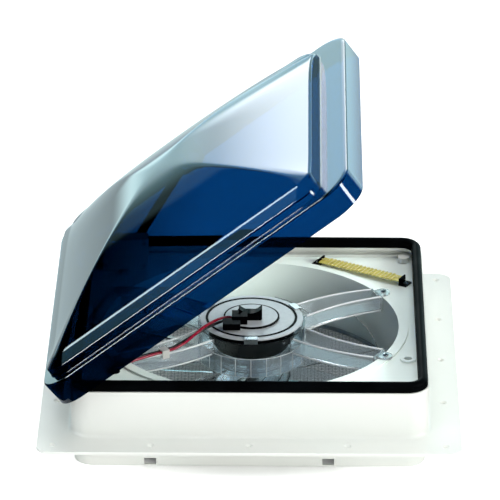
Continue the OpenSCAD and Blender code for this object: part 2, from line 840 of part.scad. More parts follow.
// Spring clips that hook over the top plate's edge and stand on the cup's rim
module motor_clips() color("silver") for (a = clip_angles) rotate(a) {
  translate([disc_r - clip_reach, -motor_clip_w / 2, disc_top])
    cube([clip_reach + clip_over, motor_clip_w, motor_clip_t]);
  translate([disc_r + slip_gap, -motor_clip_w / 2, cup_top])
    cube([clip_over - slip_gap, motor_clip_w, disc_top + motor_clip_t - cup_top]);
}

module connector_block() color("black") translate([0, 0, disc_top + hub_step_h]) {
  translate(plug_at) cube(plug_size);
  translate(nose_at) cube(nose_size);
  translate(mid_at) cube(mid_size);
  // A saddle between two horns
  translate(back_at) difference() {
    cube(back_size);
    translate([back_size[0] / 2, 0, back_size[2] - dish_deep + dish_r])
      along_y(dish_r, -1, back_size[1] + 1);
  }
}

module red_wire() color("crimson") tube(smooth_route(red_route, wire_steps), wire_d / 2, wire_sides);

module black_wire() color("black") tube(smooth_route(black_route, wire_steps), wire_d / 2, wire_sides);

// A saddle gripping the near rail of the wires' arm, with a hole for each wire
module wire_clip() color("white") rotate(arm_angles[2]) difference() {
  translate([clip_r - clip_l / 2, clip_side - clip_w / 2, arm_top - clip_drop])
    cube([clip_l, clip_w, clip_top - arm_top + clip_drop]);
  translate([clip_r, 0, 0]) {
    t = (clip_r - arm_mid(0)[0]) / (arm_mid(1)[0] - arm_mid(0)[0]);
    rail = arm_mid(t)[1] + arm_half(t) - clear_t / 2;
    translate([-clip_l, rail - clear_t / 2 - clip_slack, arm_top - clip_drop - 1])
      cube([2 * clip_l, clear_t + 2 * clip_slack, clip_drop + 1]);
    for (y = clip_wire_ys) translate([-clip_l, y, clip_wire_z])
      rotate([0, 90, 0]) cylinder(r = clip_hole_r, h = 2 * clip_l);
  }
}

module wire_grommet() color("black") at_grommet() difference() {
  union() {
    translate([0, 0, plate_low]) cylinder(r = grommet_r - run_gap, h = plate_t);
    translate([0, 0, plate_top]) cylinder(r = grommet_r + grommet_lip_w, h = grommet_lip_t);
  }
  translate([0, 0, plate_low - 1]) cylinder(r = grommet_hole_r, h = plate_t + grommet_lip_t + 2);
}

// Speed switch

module at_switch_screws() {
  for (s = [-1, 1])
    translate([switch_x + s * (switch_l / 2 + switch_ear_r), switch_y, plate_low - switch_ear_t]) children();
}

module speed_switch() color("dimgray") difference() {
  union() {
    translate([switch_x - switch_l / 2, switch_y - switch_w / 2, switch_low])
      cube([switch_l, switch_w, switch_h]);
    translate([switch_x, switch_y, switch_low - switch_collar_h])
      cylinder(r = switch_collar_r, h = switch_collar_h);
    at_switch_screws() cylinder(r = switch_ear_r, h = switch_ear_t);
    translate([switch_x - switch_l / 2 - switch_ear_r, switch_y - switch_ear_r, plate_low - switch_ear_t])
      cube([switch_l + 2 * switch_ear_r, 2 * switch_ear_r, switch_ear_t]);
  }
  at_switch_screws() translate([0, 0, -1]) cylinder(d = switch_screw_d + 2 * slip_gap, h = switch_ear_t + 2);
  translate([switch_x, switch_y, switch_low - switch_collar_h - 1])
    cylinder(d = speed_shaft_d + 2 * run_gap, h = switch_collar_h + speed_shaft_in + 1);
}

module switch_screws() color("silver") at_switch_screws() rotate([180, 0, 0])
  pan_screw(term_head_r, term_head_h, switch_screw_d, switch_ear_t + plate_t);

module speed_shaft() color("silver") translate([switch_x, switch_y, knob_low + knob_floor])
  cylinder(d = speed_shaft_d, h = switch_low + speed_shaft_in - slip_gap - knob_low - knob_floor);

module speed_knob() color("white") translate([switch_x, switch_y, knob_low]) difference() {
  union() {
    r = speed_knob_d / 2;
    cylinder(r = r, h = speed_skirt_h);
    translate([0, 0, speed_skirt_h])
      cylinder(r1 = r - speed_skirt_in, r2 = r - speed_top_in, h = speed_knob_h - speed_skirt_h);
    translate([0, -pointer_w / 2, 0]) cube([r + pointer_out, pointer_w, speed_skirt_h]);
  }
  translate([0, 0, knob_floor]) cylinder(d = speed_shaft_d + 2 * run_gap, h = speed_knob_h);
}

// Fan

function blade_ring(k) = let (
    f = k / blade_stations,
    r = (hub_r - blade_root) + (duct_r - tip_gap - hub_r + blade_root) * f,
    chord = blade_chord_in + (blade_chord_out - blade_chord_in) * f,
    pitch = blade_pitch_in + (blade_pitch_out - blade_pitch_in) * f,
    s = [for (j = [0:blade_cells]) j / blade_cells - 0.5],
    line = concat([for (q = s) [q, 0.5]], [for (q = reversed(s)) [q, -0.5]]))
  [for (q = line) let (
    n = blade_camber * chord * (1 - 4 * q[0] * q[0]) + q[1] * blade_t,
    y = q[0] * chord * cos(pitch) - n * sin(pitch),
    z = q[0] * chord * sin(pitch) + n * cos(pitch),
    a = y / r * 180 / PI)
    [r * cos(a), r * sin(a), z]];

// Closes a row of point rings with the same number of points into a solid
module loft(rings) {
  n = len(rings);
  m = len(rings[0]);
  walls = [for (i = [0:n - 2], k = [0:m - 1], f = [0, 1])
    let (k2 = (k + 1) % m, a = i * m + k, b = i * m + k2, c = a + m, d = b + m)
    f == 0 ? [a, d, c] : [a, b, d]];
  half = m / 2;
  caps = [for (k = [0:half - 2], f = [0:3]) let (e = (n - 1) * m, p = m - 1 - k)
    f == 0 ? [k, p - 1, k + 1] : f == 1 ? [k, p, p - 1] :
    f == 2 ? [e + k, e + k + 1, e + p - 1] : [e + k, e + p - 1, e + p]];
  polyhedron([for (ring = rings, q = ring) q], concat(walls, caps), convexity = 6);
}

module fan_blades() color("gainsboro", 0.7) translate([0, 0, fan_low]) {
  difference() {
    cylinder(r = hub_r, h = hub_h);
    translate([0, 0, hub_wall]) difference() {
      cylinder(r = hub_r - hub_wall, h = hub_h);
      cylinder(r = hub_boss_r, h = hub_h);
    }
    translate([0, 0, -1]) cylinder(d = shaft_d + 2 * run_gap, h = hub_h + 2);
  }
  for (k = [0:blade_count - 1]) rotate(360 * k / blade_count) translate([0, 0, hub_h / 2])
    loft([for (i = [0:blade_stations]) blade_ring(i)]);
}

module motor_shaft() color("silver") {
  low = fan_low - fan_clip_t - shaft_out;
  top = cup_floor + clear_t + shaft_in - shaft_end_gap;
  translate([0, 0, low]) cylinder(d = shaft_d, h = top - low);
}

module fan_clip() color("silver") translate([0, 0, fan_low - fan_clip_t]) difference() {
  cylinder(d = shaft_d + 2 * fan_clip_w, h = fan_clip_t);
  translate([0, 0, -1]) cylinder(d = shaft_d + 2 * run_gap, h = fan_clip_t + 2);
}

// Lid and hinges, drawn closed and turned to the open place

// Height of the dome over its foot, at a distance in from an edge
function dome_rise(d, half) = dome_h * (1 - pow(abs(1 - d / half), dome_power));

// Half an outline of the dome, mirrored about its middle, standing on its foot
module dome_section(half, drop) {
  left = [for (k = [0:dome_steps]) let (d = half * k / dome_steps) [d - half, dome_rise(d, half) - drop]];
  right = [for (q = reversed(left)) [-q[0], q[1]]];
  polygon(concat([[-half, -dome_sink]], left, right, [[half, -dome_sink]]));
}

module dome_solid(inset, drop) {
  mid = (dome_x0 + dome_x1) / 2;
  half_x = (dome_x1 - dome_x0) / 2 - inset;
  half_y = dome_half - inset;
  translate([mid, 0, lid_z + plinth_h]) intersection() {
    translate([0, half_y, 0]) rotate([90, 0, 0])
      linear_extrude(2 * half_y) dome_section(half_x, drop);
    translate([-half_x, 0, 0]) rotate([90, 0, 90])
      linear_extrude(2 * half_x) dome_section(half_y, drop);
  }
}

// One step of the lid's body, shrunk by an inset, between two heights
module lid_step(z0, z1, in_side, in_free, r, inset) {
  translate([0, 0, z0]) linear_extrude(z1 - z0)
    rounded_rect(lid_x0 + in_side + inset, lid_x1 - in_free - inset, lid_half - in_side - inset, r - inset);
}

module lid_body(inset) {
  low = lid_z - skirt_h;
  lid_step(low - inset, lid_z - inset, 0, 0, lid_r, inset);
  lid_step(lid_z - skirt_h / 2, lid_z + step_h - inset, rim_w, rim_free_w, plinth_r, inset);
  lid_step(lid_z - skirt_h / 2, lid_z + plinth_h - inset, rim_w + step_in, rim_free_w + step_free_in,
    plinth_r, inset);
  dome_solid(inset * dome_skin, inset);
}

module seal_rib() {
  mid = seal_half - seal_w / 2;
  mid_r = seal_r - seal_w / 2;
  low = seal_top + rib_gap;
  translate([0, 0, low]) linear_extrude(lid_z + plinth_h - low) difference() {
    rounded_square(mid + rib_t / 2, mid_r + rib_t / 2);
    rounded_square(mid - rib_t / 2, mid_r - rib_t / 2);
  }
}

module at_hinges() {
  for (side = [-1, 1]) translate([hinge_x, side * hinge_y, hinge_z]) children();
}

module at_rivets() {
  for (side = [-1, 1], k = [-1, 1])
    translate([lid_x0, side * hinge_y + k * leaf_screw_y, hinge_z + rivet_up]) rotate([0, -90, 0]) children();
}

module lid() color("midnightblue", 0.6) on_open_lid() difference() {
  union() {
    difference() {
      lid_body(0);
      lid_body(lid_t);
    }
    intersection() {
      seal_rib();
      lid_body(0);
    }
  }
  at_rivets() translate([0, 0, -lid_t - 1]) cylinder(d = rivet_d + 2 * run_gap, h = lid_t + 2);
}

module base_hinges() color("gray") difference() {
  at_hinges() {
    for (k = [-1, 1]) {
      y0 = k > 0 ? hinge_l / 2 - knuckle_side : -hinge_l / 2;
      along_y(knuckle_r, y0, y0 + knuckle_side);
      translate([0, y0, -leaf_t / 2]) cube([hinge_out - leaf_t / 2, knuckle_side, leaf_t]);
    }
    translate([hinge_out - leaf_t, -hinge_l / 2, -leaf_low]) cube([leaf_t, hinge_l, leaf_low + leaf_up]);
  }
  at_hinges() along_y(pin_d / 2 + run_gap, -hinge_l, hinge_l);
  at_leaf_screws() translate([0, 0, -leaf_t - 1]) cylinder(d = leaf_screw_d + 2 * slip_gap, h = leaf_t + 2);
}

module base_hinge_screws() color("silver") at_leaf_screws()
  pan_screw(leaf_head_r, leaf_head_h, leaf_screw_d, leaf_t + wall);

module hinge_pins() color("silver") at_hinges() {
  along_y(pin_d / 2, -hinge_l / 2, hinge_l / 2);
  for (y0 = [-hinge_l / 2 - pin_head_t, hinge_l / 2]) along_y(pin_d / 2 + pin_head_w, y0, y0 + pin_head_t);
}

module lid_hinges() color("gray") on_open_lid() difference() {
  at_hinges() {
    skin = hinge_out - hinge_gap;
    along_y(knuckle_r, -knuckle_mid / 2, knuckle_mid / 2);
    translate([skin, -knuckle_mid / 2, 0]) cube([leaf_t, knuckle_mid, lid_leaf_up]);
    translate([skin, -hinge_l / 2, knuckle_r + free_air])
      cube([leaf_t, hinge_l, lid_leaf_up - knuckle_r - free_air]);
  }
  at_hinges() along_y(pin_d / 2 + run_gap, -hinge_l, hinge_l);
  at_rivets() translate([0, 0, -lid_t - leaf_t - 1])
    cylinder(d = rivet_d + 2 * run_gap, h = leaf_t + lid_t + 2);
}

module hinge_rivets() color("silver") on_open_lid() at_rivets() {
  cylinder(r = rivet_d, h = rivet_head_h);
  translate([0, 0, -lid_t - leaf_t]) cylinder(d = rivet_d, h = lid_t + leaf_t);
}

// A fin under the dome with the slot that the lift arm's roller runs in
module lift_bracket() color("gray") on_open_lid() {
  x0 = min(slot_x_open, slot_x_closed) - slot_over;
  x1 = max(slot_x_open, slot_x_closed) + slot_over;
  slot_r = roller_d / 2 + free_air;
  edge = slot_r + bracket_edge;
  skin = lid_t * dome_skin;
  rise = dome_rise(dome_half - skin - bracket_y - bracket_t, dome_half - skin);
  roof = lid_z + plinth_h + rise - lid_t - slip_gap;
  translate([0, bracket_y + bracket_t, 0]) rotate([90, 0, 0]) linear_extrude(bracket_t) difference() {
    union() {
      for (x = [x0, x1]) translate([x, slot_z]) circle(edge);
      translate([x0, slot_z - edge]) square([x1 - x0, 2 * edge]);
      translate([x0 - edge, slot_z]) square([x1 - x0 + 2 * edge, roof - slot_z]);
    }
    for (x = [x0, x1]) translate([x, slot_z]) circle(slot_r);
    translate([x0, slot_z - slot_r]) square([x1 - x0, 2 * slot_r]);
  }
}

// Lid lift

// Prints how far the arm and the crank turn for each degree of the lid
module lift_arm() color("black") on_open_arm() difference() {
  echo(lift_turn_per_lid_turn = lift_ratio, crank_turn_per_lid_turn = crank_ratio);
  translate([0, pivot_y + lift_t, 0]) rotate([90, 0, 0]) linear_extrude(lift_t) {
    circle(lift_w / 2 + lift_eye_w);
    translate([0, -lift_w / 2]) square([lift_l, lift_w]);
    translate([lift_l, 0]) circle(lift_w / 2);
  }
  along_y(lift_shaft_d / 2 + run_gap, pivot_y - 1, pivot_y + lift_t + 1);
  translate([lift_l, 0, 0]) along_y(roller_pin_r + run_gap, pivot_y - 1, pivot_y + lift_t + 1);
}

module lift_shaft() color("silver") translate([pivot_x, 0, lift_z])
  along_y(lift_shaft_d / 2, house_y0 + run_gap, pivot_y + lift_t);

module arm_roller() color("white") on_open_arm() translate([lift_l, 0, 0]) {
  along_y(roller_d / 2, pivot_y - roller_l, pivot_y);
  along_y(roller_pin_r, pivot_y, pivot_y + lift_t);
}

module wheel_outline() {
  root = wheel_r - tooth_down;
  tip = wheel_r + tooth_up;
  step = 360 / wheel_teeth;
  flank = [[tooth_tip_share, tip], [tooth_root_share, root]];
  tooth = concat([for (q = reversed(flank)) [-q[0], q[1]]], flank);
  polygon([for (k = [0:wheel_teeth - 1], q = tooth)
    let (a = 180 + (k + 0.5 + q[0]) * step) q[1] * [cos(a), sin(a)]]);
}

module worm_wheel() color("white") translate([pivot_x, wheel_y + wheel_w / 2, lift_z]) rotate([90, 0, 0])
  difference() {
    linear_extrude(wheel_w) wheel_outline();
    translate([0, 0, -1]) cylinder(d = lift_shaft_d + 2 * run_gap, h = wheel_w + 2);
  }

// Height of the worm's single thread over its root, 0 to 1, at a place along the lead
function thread_share(q) = let (d = abs(q - round(q)))
  max(0, min(1, (thread_root_share - d) / (thread_root_share - thread_tip_share)));

module worm() color("silver") translate([worm_x, wheel_y, lift_z]) {
  bore = (spindle_d / 2 + run_gap) / cos(180 / worm_sides);
  rows = round(worm_l / worm_lead * worm_rows);
  outer = [for (i = [0:rows]) let (z = (i / rows - 0.5) * worm_l)
    [for (k = [0:worm_sides - 1]) let (
      a = 360 * k / worm_sides,
      fade = min(1, (worm_l / 2 - abs(z)) / worm_lead * 2),
      r = worm_root + (worm_tip - worm_root) * fade * thread_share(z / worm_lead - a / 360))
      [r * cos(a), r * sin(a), z]]];
  inner = [for (z = [worm_l / 2, -worm_l / 2])
    [for (k = [0:worm_sides - 1]) let (a = 360 * k / worm_sides) [bore * cos(a), bore * sin(a), z]]];
  rings = concat(outer, inner);
  n = len(rings);
  m = worm_sides;
  faces = [for (i = [0:n - 1], k = [0:m - 1], f = [0, 1])
    let (k2 = (k + 1) % m, i2 = (i + 1) % n, a = i * m + k, b = i * m + k2, c = i2 * m + k, d = i2 * m + k2)
    f == 0 ? [a, c, d] : [a, d, b]];
  polyhedron([for (ring = rings, q = ring) q], faces, convexity = 8);
}

module crank_spindle() color("silver") {
  low = knob_low + knob_h - knob_bore_l;
  translate([worm_x, wheel_y, low]) cylinder(d = spindle_d, h = house_top - low);
}

module crank_knob() color("white") translate([worm_x, wheel_y, knob_low]) difference() {
  union() {
    cylinder(d = knob_d, h = knob_h - knob_neck_h);
    translate([0, 0, knob_h - knob_neck_h]) cylinder(d = knob_d / 2, h = knob_neck_h);
  }
  for (k = [0:knob_grips - 1]) rotate(360 * k / knob_grips)
    translate([knob_d / 2 + knob_grip_r / 2, 0, -1]) cylinder(r = knob_grip_r, h = knob_h - knob_neck_h + 1);
  translate([0, 0, knob_h - knob_bore_l]) cylinder(d = spindle_d + 2 * run_gap, h = knob_bore_l + 1);
}

module at_house_screws() {
  for (q = house_ears) translate([q[0], q[1] + q[2] * house_ear_reach, plate_top + house_ear_t]) children();
}

module at_cover_screws() {
  edge = cover_screw_edge;
  for (x = [house_x0 + edge, house_x1 - edge], z = [plate_top + house_ear_t + edge, house_top - edge])
    translate([x, house_y0, z]) rotate([90, 0, 0]) children();
}

module operator_housing() color("white") difference() {
  long = house_x1 - house_x0;
  deep = house_y1 - house_y0;
  high = house_top - plate_top;
  union() {
    difference() {
      translate([house_x0, house_y0, plate_top]) cube([long, deep, high]);
      translate([house_x0 + house_wall, house_y0 - 1, plate_top + house_wall])
        cube([long - 2 * house_wall, deep - house_wall + 1, high - 2 * house_wall]);
    }
    at_cover_screws() translate([0, 0, -deep]) cylinder(r = house_post_r, h = deep);
    at_house_screws() translate([0, 0, -house_ear_t]) cylinder(r = house_ear_r, h = house_ear_t);
    for (q = house_ears)
      translate([q[0] - house_ear_r, min(q[1], q[1] + q[2] * house_ear_reach), plate_top])
        cube([2 * house_ear_r, house_ear_reach, house_ear_t]);
  }
  at_house_screws() translate([0, 0, -house_ear_t - 1])
    cylinder(d = house_screw_d + 2 * slip_gap, h = house_ear_t + 2);
  at_cover_screws() translate([0, 0, -cover_screw_in - 1])
    cylinder(d = cover_screw_d + 2 * run_gap, h = cover_screw_in + 2);
  translate([worm_x, wheel_y, plate_top - 1]) cylinder(d = spindle_d + 2 * run_gap, h = high + 2);
  translate([pivot_x, 0, lift_z]) along_y(lift_shaft_d / 2 + run_gap, wheel_y, house_y1 + 1);
}

module operator_cover() color("white") difference() {
  translate([house_x0, house_y0 - cover_t, plate_top + house_ear_t + slip_gap])
    cube([house_x1 - house_x0, cover_t, house_top - plate_top - house_ear_t - slip_gap]);
  at_cover_screws() translate([0, 0, -1]) cylinder(d = cover_screw_d + 2 * slip_gap, h = cover_t + 2);
}

module operator_screws() color("silver") {
  at_house_screws() pan_screw(term_head_r, term_head_h, house_screw_d, house_ear_t + plate_t);
  at_cover_screws() translate([0, 0, cover_t])
    pan_screw(cover_screw_d, cover_head_h, cover_screw_d, cover_t + cover_screw_in);
}

base_frame();
lid_seal();
fan_shroud();
shroud_screws();
insect_screen_ring();
insect_screen_net();
motor_bracket();
bracket_screws();
motor_case();
motor_top_plate();
plate_ring();
motor_clips();
connector_block();
red_wire();
black_wire();
wire_clip();
wire_grommet();
resistor_card();
resistor_winding();
resistor_terminals();
resistor_screws();
speed_switch();
switch_screws();
operator_housing();
operator_cover();
operator_screws();
base_hinges();
base_hinge_screws();
hinge_pins();
fan_blades();
motor_shaft();
fan_clip();
lid();
lid_hinges();
hinge_rivets();
lift_bracket();
lift_arm();
lift_shaft();
worm_wheel();
arm_roller();
crank_spindle();
worm();
crank_knob();
speed_shaft();
speed_knob();
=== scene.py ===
# %% [markdown]
# # Caravan roof vent
# This lesson dresses a roof vent: a white frame that sits on the roof, a smoked
# lid that swings up on a side hinge, and a fan motor on a clear bracket.
# The moving parts come in as a frame of solids in metres, and every piece made
# here is set in that same frame and rides on one of its bodies.

# %% Load the frame
import json
import math

import bmesh
import bpy
from mathutils import Matrix, Vector

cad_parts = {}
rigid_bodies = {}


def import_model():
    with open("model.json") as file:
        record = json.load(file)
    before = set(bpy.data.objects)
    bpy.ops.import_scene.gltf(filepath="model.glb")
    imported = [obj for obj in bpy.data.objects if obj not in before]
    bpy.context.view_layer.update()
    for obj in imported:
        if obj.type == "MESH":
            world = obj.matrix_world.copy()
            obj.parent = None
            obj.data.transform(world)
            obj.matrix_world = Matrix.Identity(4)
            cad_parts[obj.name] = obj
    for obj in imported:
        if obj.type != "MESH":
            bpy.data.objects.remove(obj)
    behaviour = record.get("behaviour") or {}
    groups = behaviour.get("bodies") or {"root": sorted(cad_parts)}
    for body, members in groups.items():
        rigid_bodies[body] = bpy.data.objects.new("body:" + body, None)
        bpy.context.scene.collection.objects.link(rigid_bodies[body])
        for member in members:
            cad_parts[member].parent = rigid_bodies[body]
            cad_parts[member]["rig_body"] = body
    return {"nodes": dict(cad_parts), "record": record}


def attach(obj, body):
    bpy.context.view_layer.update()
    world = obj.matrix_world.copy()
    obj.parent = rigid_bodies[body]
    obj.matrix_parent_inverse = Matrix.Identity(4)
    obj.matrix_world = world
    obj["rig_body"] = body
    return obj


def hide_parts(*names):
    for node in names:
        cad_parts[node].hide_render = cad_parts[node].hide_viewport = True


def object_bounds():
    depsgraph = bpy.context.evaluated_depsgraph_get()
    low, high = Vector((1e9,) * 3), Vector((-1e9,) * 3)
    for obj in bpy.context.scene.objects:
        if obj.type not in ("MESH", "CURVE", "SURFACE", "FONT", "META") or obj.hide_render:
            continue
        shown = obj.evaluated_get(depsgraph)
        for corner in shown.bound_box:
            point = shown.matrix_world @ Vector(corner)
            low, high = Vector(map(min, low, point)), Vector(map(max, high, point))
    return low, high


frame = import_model()
cad_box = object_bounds()
nodes = frame["nodes"]
scene = bpy.context.scene
MM = 0.001

# %% [markdown]
# ## Camera
# The picture was taken with a long lens from in front and a little above, so the
# verticals hardly converge. A long focal length from over four metres away gives
# the same flat perspective, and the lid's open side shows on the right.

# %% Camera
VIEW_AZIMUTH, VIEW_ELEVATION = math.radians(0.705), math.radians(24.657)
VIEW_DISTANCE = 4.4341
VIEW_TARGET = Vector((-0.001548, 0.0, 0.127312))
SENSOR_MM, FOCAL_PIXELS, PICTURE_PIXELS = 36.0, 4327.35, 500
away = Vector((
    math.sin(VIEW_AZIMUTH) * math.cos(VIEW_ELEVATION),
    -math.cos(VIEW_AZIMUTH) * math.cos(VIEW_ELEVATION),
    math.sin(VIEW_ELEVATION),
))
camera = bpy.data.objects.new("camera", bpy.data.cameras.new("camera"))
scene.collection.objects.link(camera)
camera.data.sensor_width = SENSOR_MM
camera.data.lens = SENSOR_MM * FOCAL_PIXELS / PICTURE_PIXELS
camera.data.clip_start, camera.data.clip_end = 0.1, 100.0
camera.location = VIEW_TARGET + away * VIEW_DISTANCE
camera.rotation_mode = "QUATERNION"
camera.rotation_quaternion = (-away).to_track_quat("-Z", "Y")
scene.camera = camera
print("camera at", [round(v, 3) for v in camera.location], "lens", round(camera.data.lens, 1))

# %% [markdown]
# ## Node helpers
# The sky, the finishes and the repeated shapes are all trees of nodes. Every link
# could be written out, but that would bury the idea of each tree. These helpers
# make a node, fill its inputs by name, and do a sum, a ramp or a mix in one line.

# %% Make and fill a node
def fill(tree, socket, value):
    """Join an output to a socket, or set the socket to a plain value."""
    if isinstance(value, bpy.types.NodeSocket):
        tree.links.new(value, socket)
    else:
        socket.default_value = value


def feed(tree, node, **values):
    """Fill a node's inputs by name, with _ for a space."""
    for key, value in values.items():
        fill(tree, node.inputs[key.replace("_", " ")], value)


def put(tree, kind, _settings=None, **values):
    """A new node with its settings made and its inputs filled."""
    node = tree.nodes.new(kind)
    for key, value in (_settings or {}).items():
        setattr(node, key, value)
    feed(tree, node, **values)
    return node


print("helpers", [helper.__name__ for helper in (fill, feed, put)])

# %% Sums, ramps and mixes
def rgba(red, green, blue):
    return (red, green, blue, 1.0)


def reckon(tree, operation, *values):
    node = put(tree, "ShaderNodeMath", {"operation": operation})
    for socket, value in zip(node.inputs, values):
        fill(tree, socket, value)
    return node.outputs[0]


def ramp(tree, value, low, high, to_low=0.0, to_high=1.0, curve="LINEAR"):
    """A value carried from one range to another and held at both ends."""
    node = put(tree, "ShaderNodeMapRange", {"interpolation_type": curve}, Value=value,
               From_Min=low, From_Max=high, To_Min=to_low, To_Max=to_high)
    return node.outputs[0]


def mixed(tree, share, first, second, way="MIX"):
    """Two colours mixed: the first where the share is nought, the second where it is one."""
    node = put(tree, "ShaderNodeMix", {"data_type": "RGBA", "blend_type": way},
               Factor=share, A=first, B=second)
    return node.outputs["Result"]


def by_ray(tree, ray_kind, usual, special):
    """The usual shader, but the special one for one kind of ray."""
    node = put(tree, "ShaderNodeMixShader")
    ray = put(tree, "ShaderNodeLightPath").outputs[ray_kind]
    for socket, value in zip(node.inputs, (ray, usual, special)):
        fill(tree, socket, value)
    return node.outputs[0]


print("helpers", [helper.__name__ for helper in (rgba, reckon, ramp, mixed, by_ray)])

# %% [markdown]
# ## Studio
# A dark glossy lid shows its surroundings more than its own colour: its bright
# patches are mirror images of lit sheets. Such sheets could stand round the vent,
# but they would light the white frame as well. So the sky is drawn twice: an even
# pale light for dull surfaces, and for mirror rays a black one with light panels,
# each a window in bearing and height with soft borders.

# %% Light panels
world = bpy.data.worlds.new("studio sky")
scene.world = world
world.use_nodes = True
sky = world.node_tree
sky.nodes.clear()
aim = put(sky, "ShaderNodeTexCoord").outputs["Generated"]
aim_parts = put(sky, "ShaderNodeSeparateXYZ", Vector=aim)
bearing = reckon(sky, "ARCTAN2", aim_parts.outputs["X"], aim_parts.outputs["Y"])
elevation = reckon(sky, "ARCSINE", aim_parts.outputs["Z"])


def window(angle, low, low_soft, high, high_soft):
    """One between two angles in degrees, fading to nought over the soft widths outside them."""
    sides = [ramp(sky, angle, math.radians(start), math.radians(end), curve="SMOOTHSTEP")
             for start, end in ((low - low_soft, low), (high + high_soft, high))]
    return reckon(sky, "MULTIPLY", *sides)


TEAL, DEEP, WHITE, BLUE = (0.74, 0.93, 0.97), (0.50, 0.90, 0.94), (0.96, 0.99, 1.0), (0.30, 0.72, 0.95)
PANELS = [  # bearings left and right with their fades, heights low and high with their fades, level, colour
    (-8, 16, -5, 6, 13, 6, 25, 8, 5.4, WHITE),
    (-44, 3, 45, 10, -2, 6, 36, 10, 0.40, DEEP),
    (-34, 8, 40, 10, -2, 6, 36, 10, 0.85, DEEP),
    (-32, 10, -12, 6, -3, 5, 10, 6, 1.2, TEAL),
    (-32, 10, 12, 8, -22, 6, -4, 6, 0.95, TEAL),
    (10, 8, 44, 8, -14, 6, 14, 6, 1.2, TEAL),
    (-122, 5, -98, 5, 28, 4, 37, 4, 24.0, WHITE),
    (104, 2, 114, 2, 4, 4, 30, 5, 22.0, WHITE),
    (-71, 2, -63, 2, 30, 3, 39, 3, 13.0, TEAL),
    (-94, 4, -76, 3, 30, 4, 42, 4, 1.0, BLUE),
]
BLACK = rgba(0, 0, 0)
mirrored = BLACK
for left, left_soft, right, right_soft, low, low_soft, high, high_soft, level, tint in PANELS:
    inside = reckon(sky, "MULTIPLY", window(bearing, left, left_soft, right, right_soft),
                    window(elevation, low, low_soft, high, high_soft))
    lit = mixed(sky, inside, BLACK, rgba(*(part * level for part in tint)))
    mirrored = mixed(sky, 1.0, mirrored, lit, "ADD")
print("light panels", len(PANELS))

# %% Two skies
SOFT_COLOUR, SOFT_LEVEL = rgba(0.90, 0.97, 1.0), 0.38
soft_sky = put(sky, "ShaderNodeBackground", Color=SOFT_COLOUR, Strength=SOFT_LEVEL)
mirror_sky = put(sky, "ShaderNodeBackground", Color=mirrored)
both_skies = by_ray(sky, "Is Glossy Ray", soft_sky.outputs[0], mirror_sky.outputs[0])
put(sky, "ShaderNodeOutputWorld", Surface=both_skies)
scene.view_settings.view_transform = "Standard"
print("sky nodes", len(sky.nodes))

# %% [markdown]
# An even sky alone would leave the white mouldings flat, so four wide lamps give
# them light and shade. A lamp would show as a white square on the lid, so mirror
# rays, the camera and rays that pass through clear plastic don't see it.

# %% Lamps
LAMP_AIM = Vector((0, 0, 0.05))


def soft_lamp(name, place, power, size, colour):
    lamp = bpy.data.lights.new(name, "AREA")
    lamp.energy, lamp.size, lamp.color = power, size, colour
    holder = bpy.data.objects.new(name, lamp)
    scene.collection.objects.link(holder)
    holder.location = place
    holder.rotation_euler = (LAMP_AIM - Vector(place)).to_track_quat("-Z", "Y").to_euler()
    holder.visible_camera = holder.visible_glossy = holder.visible_transmission = False
    return holder


lamps = [
    soft_lamp("lamp right", (2.3, -0.4, 1.5), 26, 1.4, (1.0, 0.98, 0.94)),
    soft_lamp("lamp front right", (1.4, -2.6, 1.0), 36, 1.4, (1.0, 0.97, 0.93)),
    soft_lamp("lamp front left", (-1.4, -1.9, 2.6), 36, 1.8, (0.96, 0.98, 1.0)),
    soft_lamp("lamp over", (0.3, 0.6, 2.4), 26, 1.6, (1.0, 0.99, 0.96)),
]
print("lamps", [lamp.name for lamp in lamps])

# %% [markdown]
# ## Shared effects
# Moulded plastic is never one flat colour: the pigment drifts a little, the gloss
# changes with the tool's polish, and a fine grain breaks up highlights. One group
# gives all three from noise on Object coordinates. A second group settles pale
# dust on faces that look up, and a third draws long scratches on metal. They could
# be copied into every finish, but a group is built once and takes its own values
# in each.

# %% Group helper
COLOUR, NUMBER, VECTOR = "NodeSocketColor", "NodeSocketFloat", "NodeSocketVector"


def new_group(name, kind, inputs, outputs):
    """A tree with named inputs and outputs, and its two end nodes."""
    tree = bpy.data.node_groups.new(name, kind)
    for label, (socket_type, default) in inputs.items():
        socket = tree.interface.new_socket(label, in_out="INPUT", socket_type=socket_type)
        if default is not None:
            socket.default_value = default
    for label, socket_type in outputs.items():
        tree.interface.new_socket(label, in_out="OUTPUT", socket_type=socket_type)
    return tree, tree.nodes.new("NodeGroupInput"), tree.nodes.new("NodeGroupOutput")


print("group sockets", COLOUR, NUMBER, VECTOR)

# %% Moulded grain
DRIFT, POLISH = (0.35, 0.65), (0.3, 0.7)  # the stretches of noise that carry the colour and the gloss
grain, grain_in, grain_out = new_group(
    "moulded grain", "ShaderNodeTree",
    {"Colour": (COLOUR, rgba(0.8, 0.8, 0.8)), "Shade": (COLOUR, rgba(0.7, 0.7, 0.7)),
     "Mottle Scale": (NUMBER, 14.0), "Grain Scale": (NUMBER, 1400.0),
     "Rough Low": (NUMBER, 0.3), "Rough High": (NUMBER, 0.4)},
    {"Colour": COLOUR, "Roughness": NUMBER, "Height": NUMBER})
where = put(grain, "ShaderNodeTexCoord").outputs["Object"]
mottle = put(grain, "ShaderNodeTexNoise", Vector=where, Scale=grain_in.outputs["Mottle Scale"],
             Detail=4.0).outputs[0]
fine = put(grain, "ShaderNodeTexNoise", Vector=where, Scale=grain_in.outputs["Grain Scale"],
           Detail=2.0).outputs[0]
tinted = mixed(grain, ramp(grain, mottle, *DRIFT), grain_in.outputs["Colour"], grain_in.outputs["Shade"])
polished = ramp(grain, mottle, *POLISH, grain_in.outputs["Rough Low"], grain_in.outputs["Rough High"])
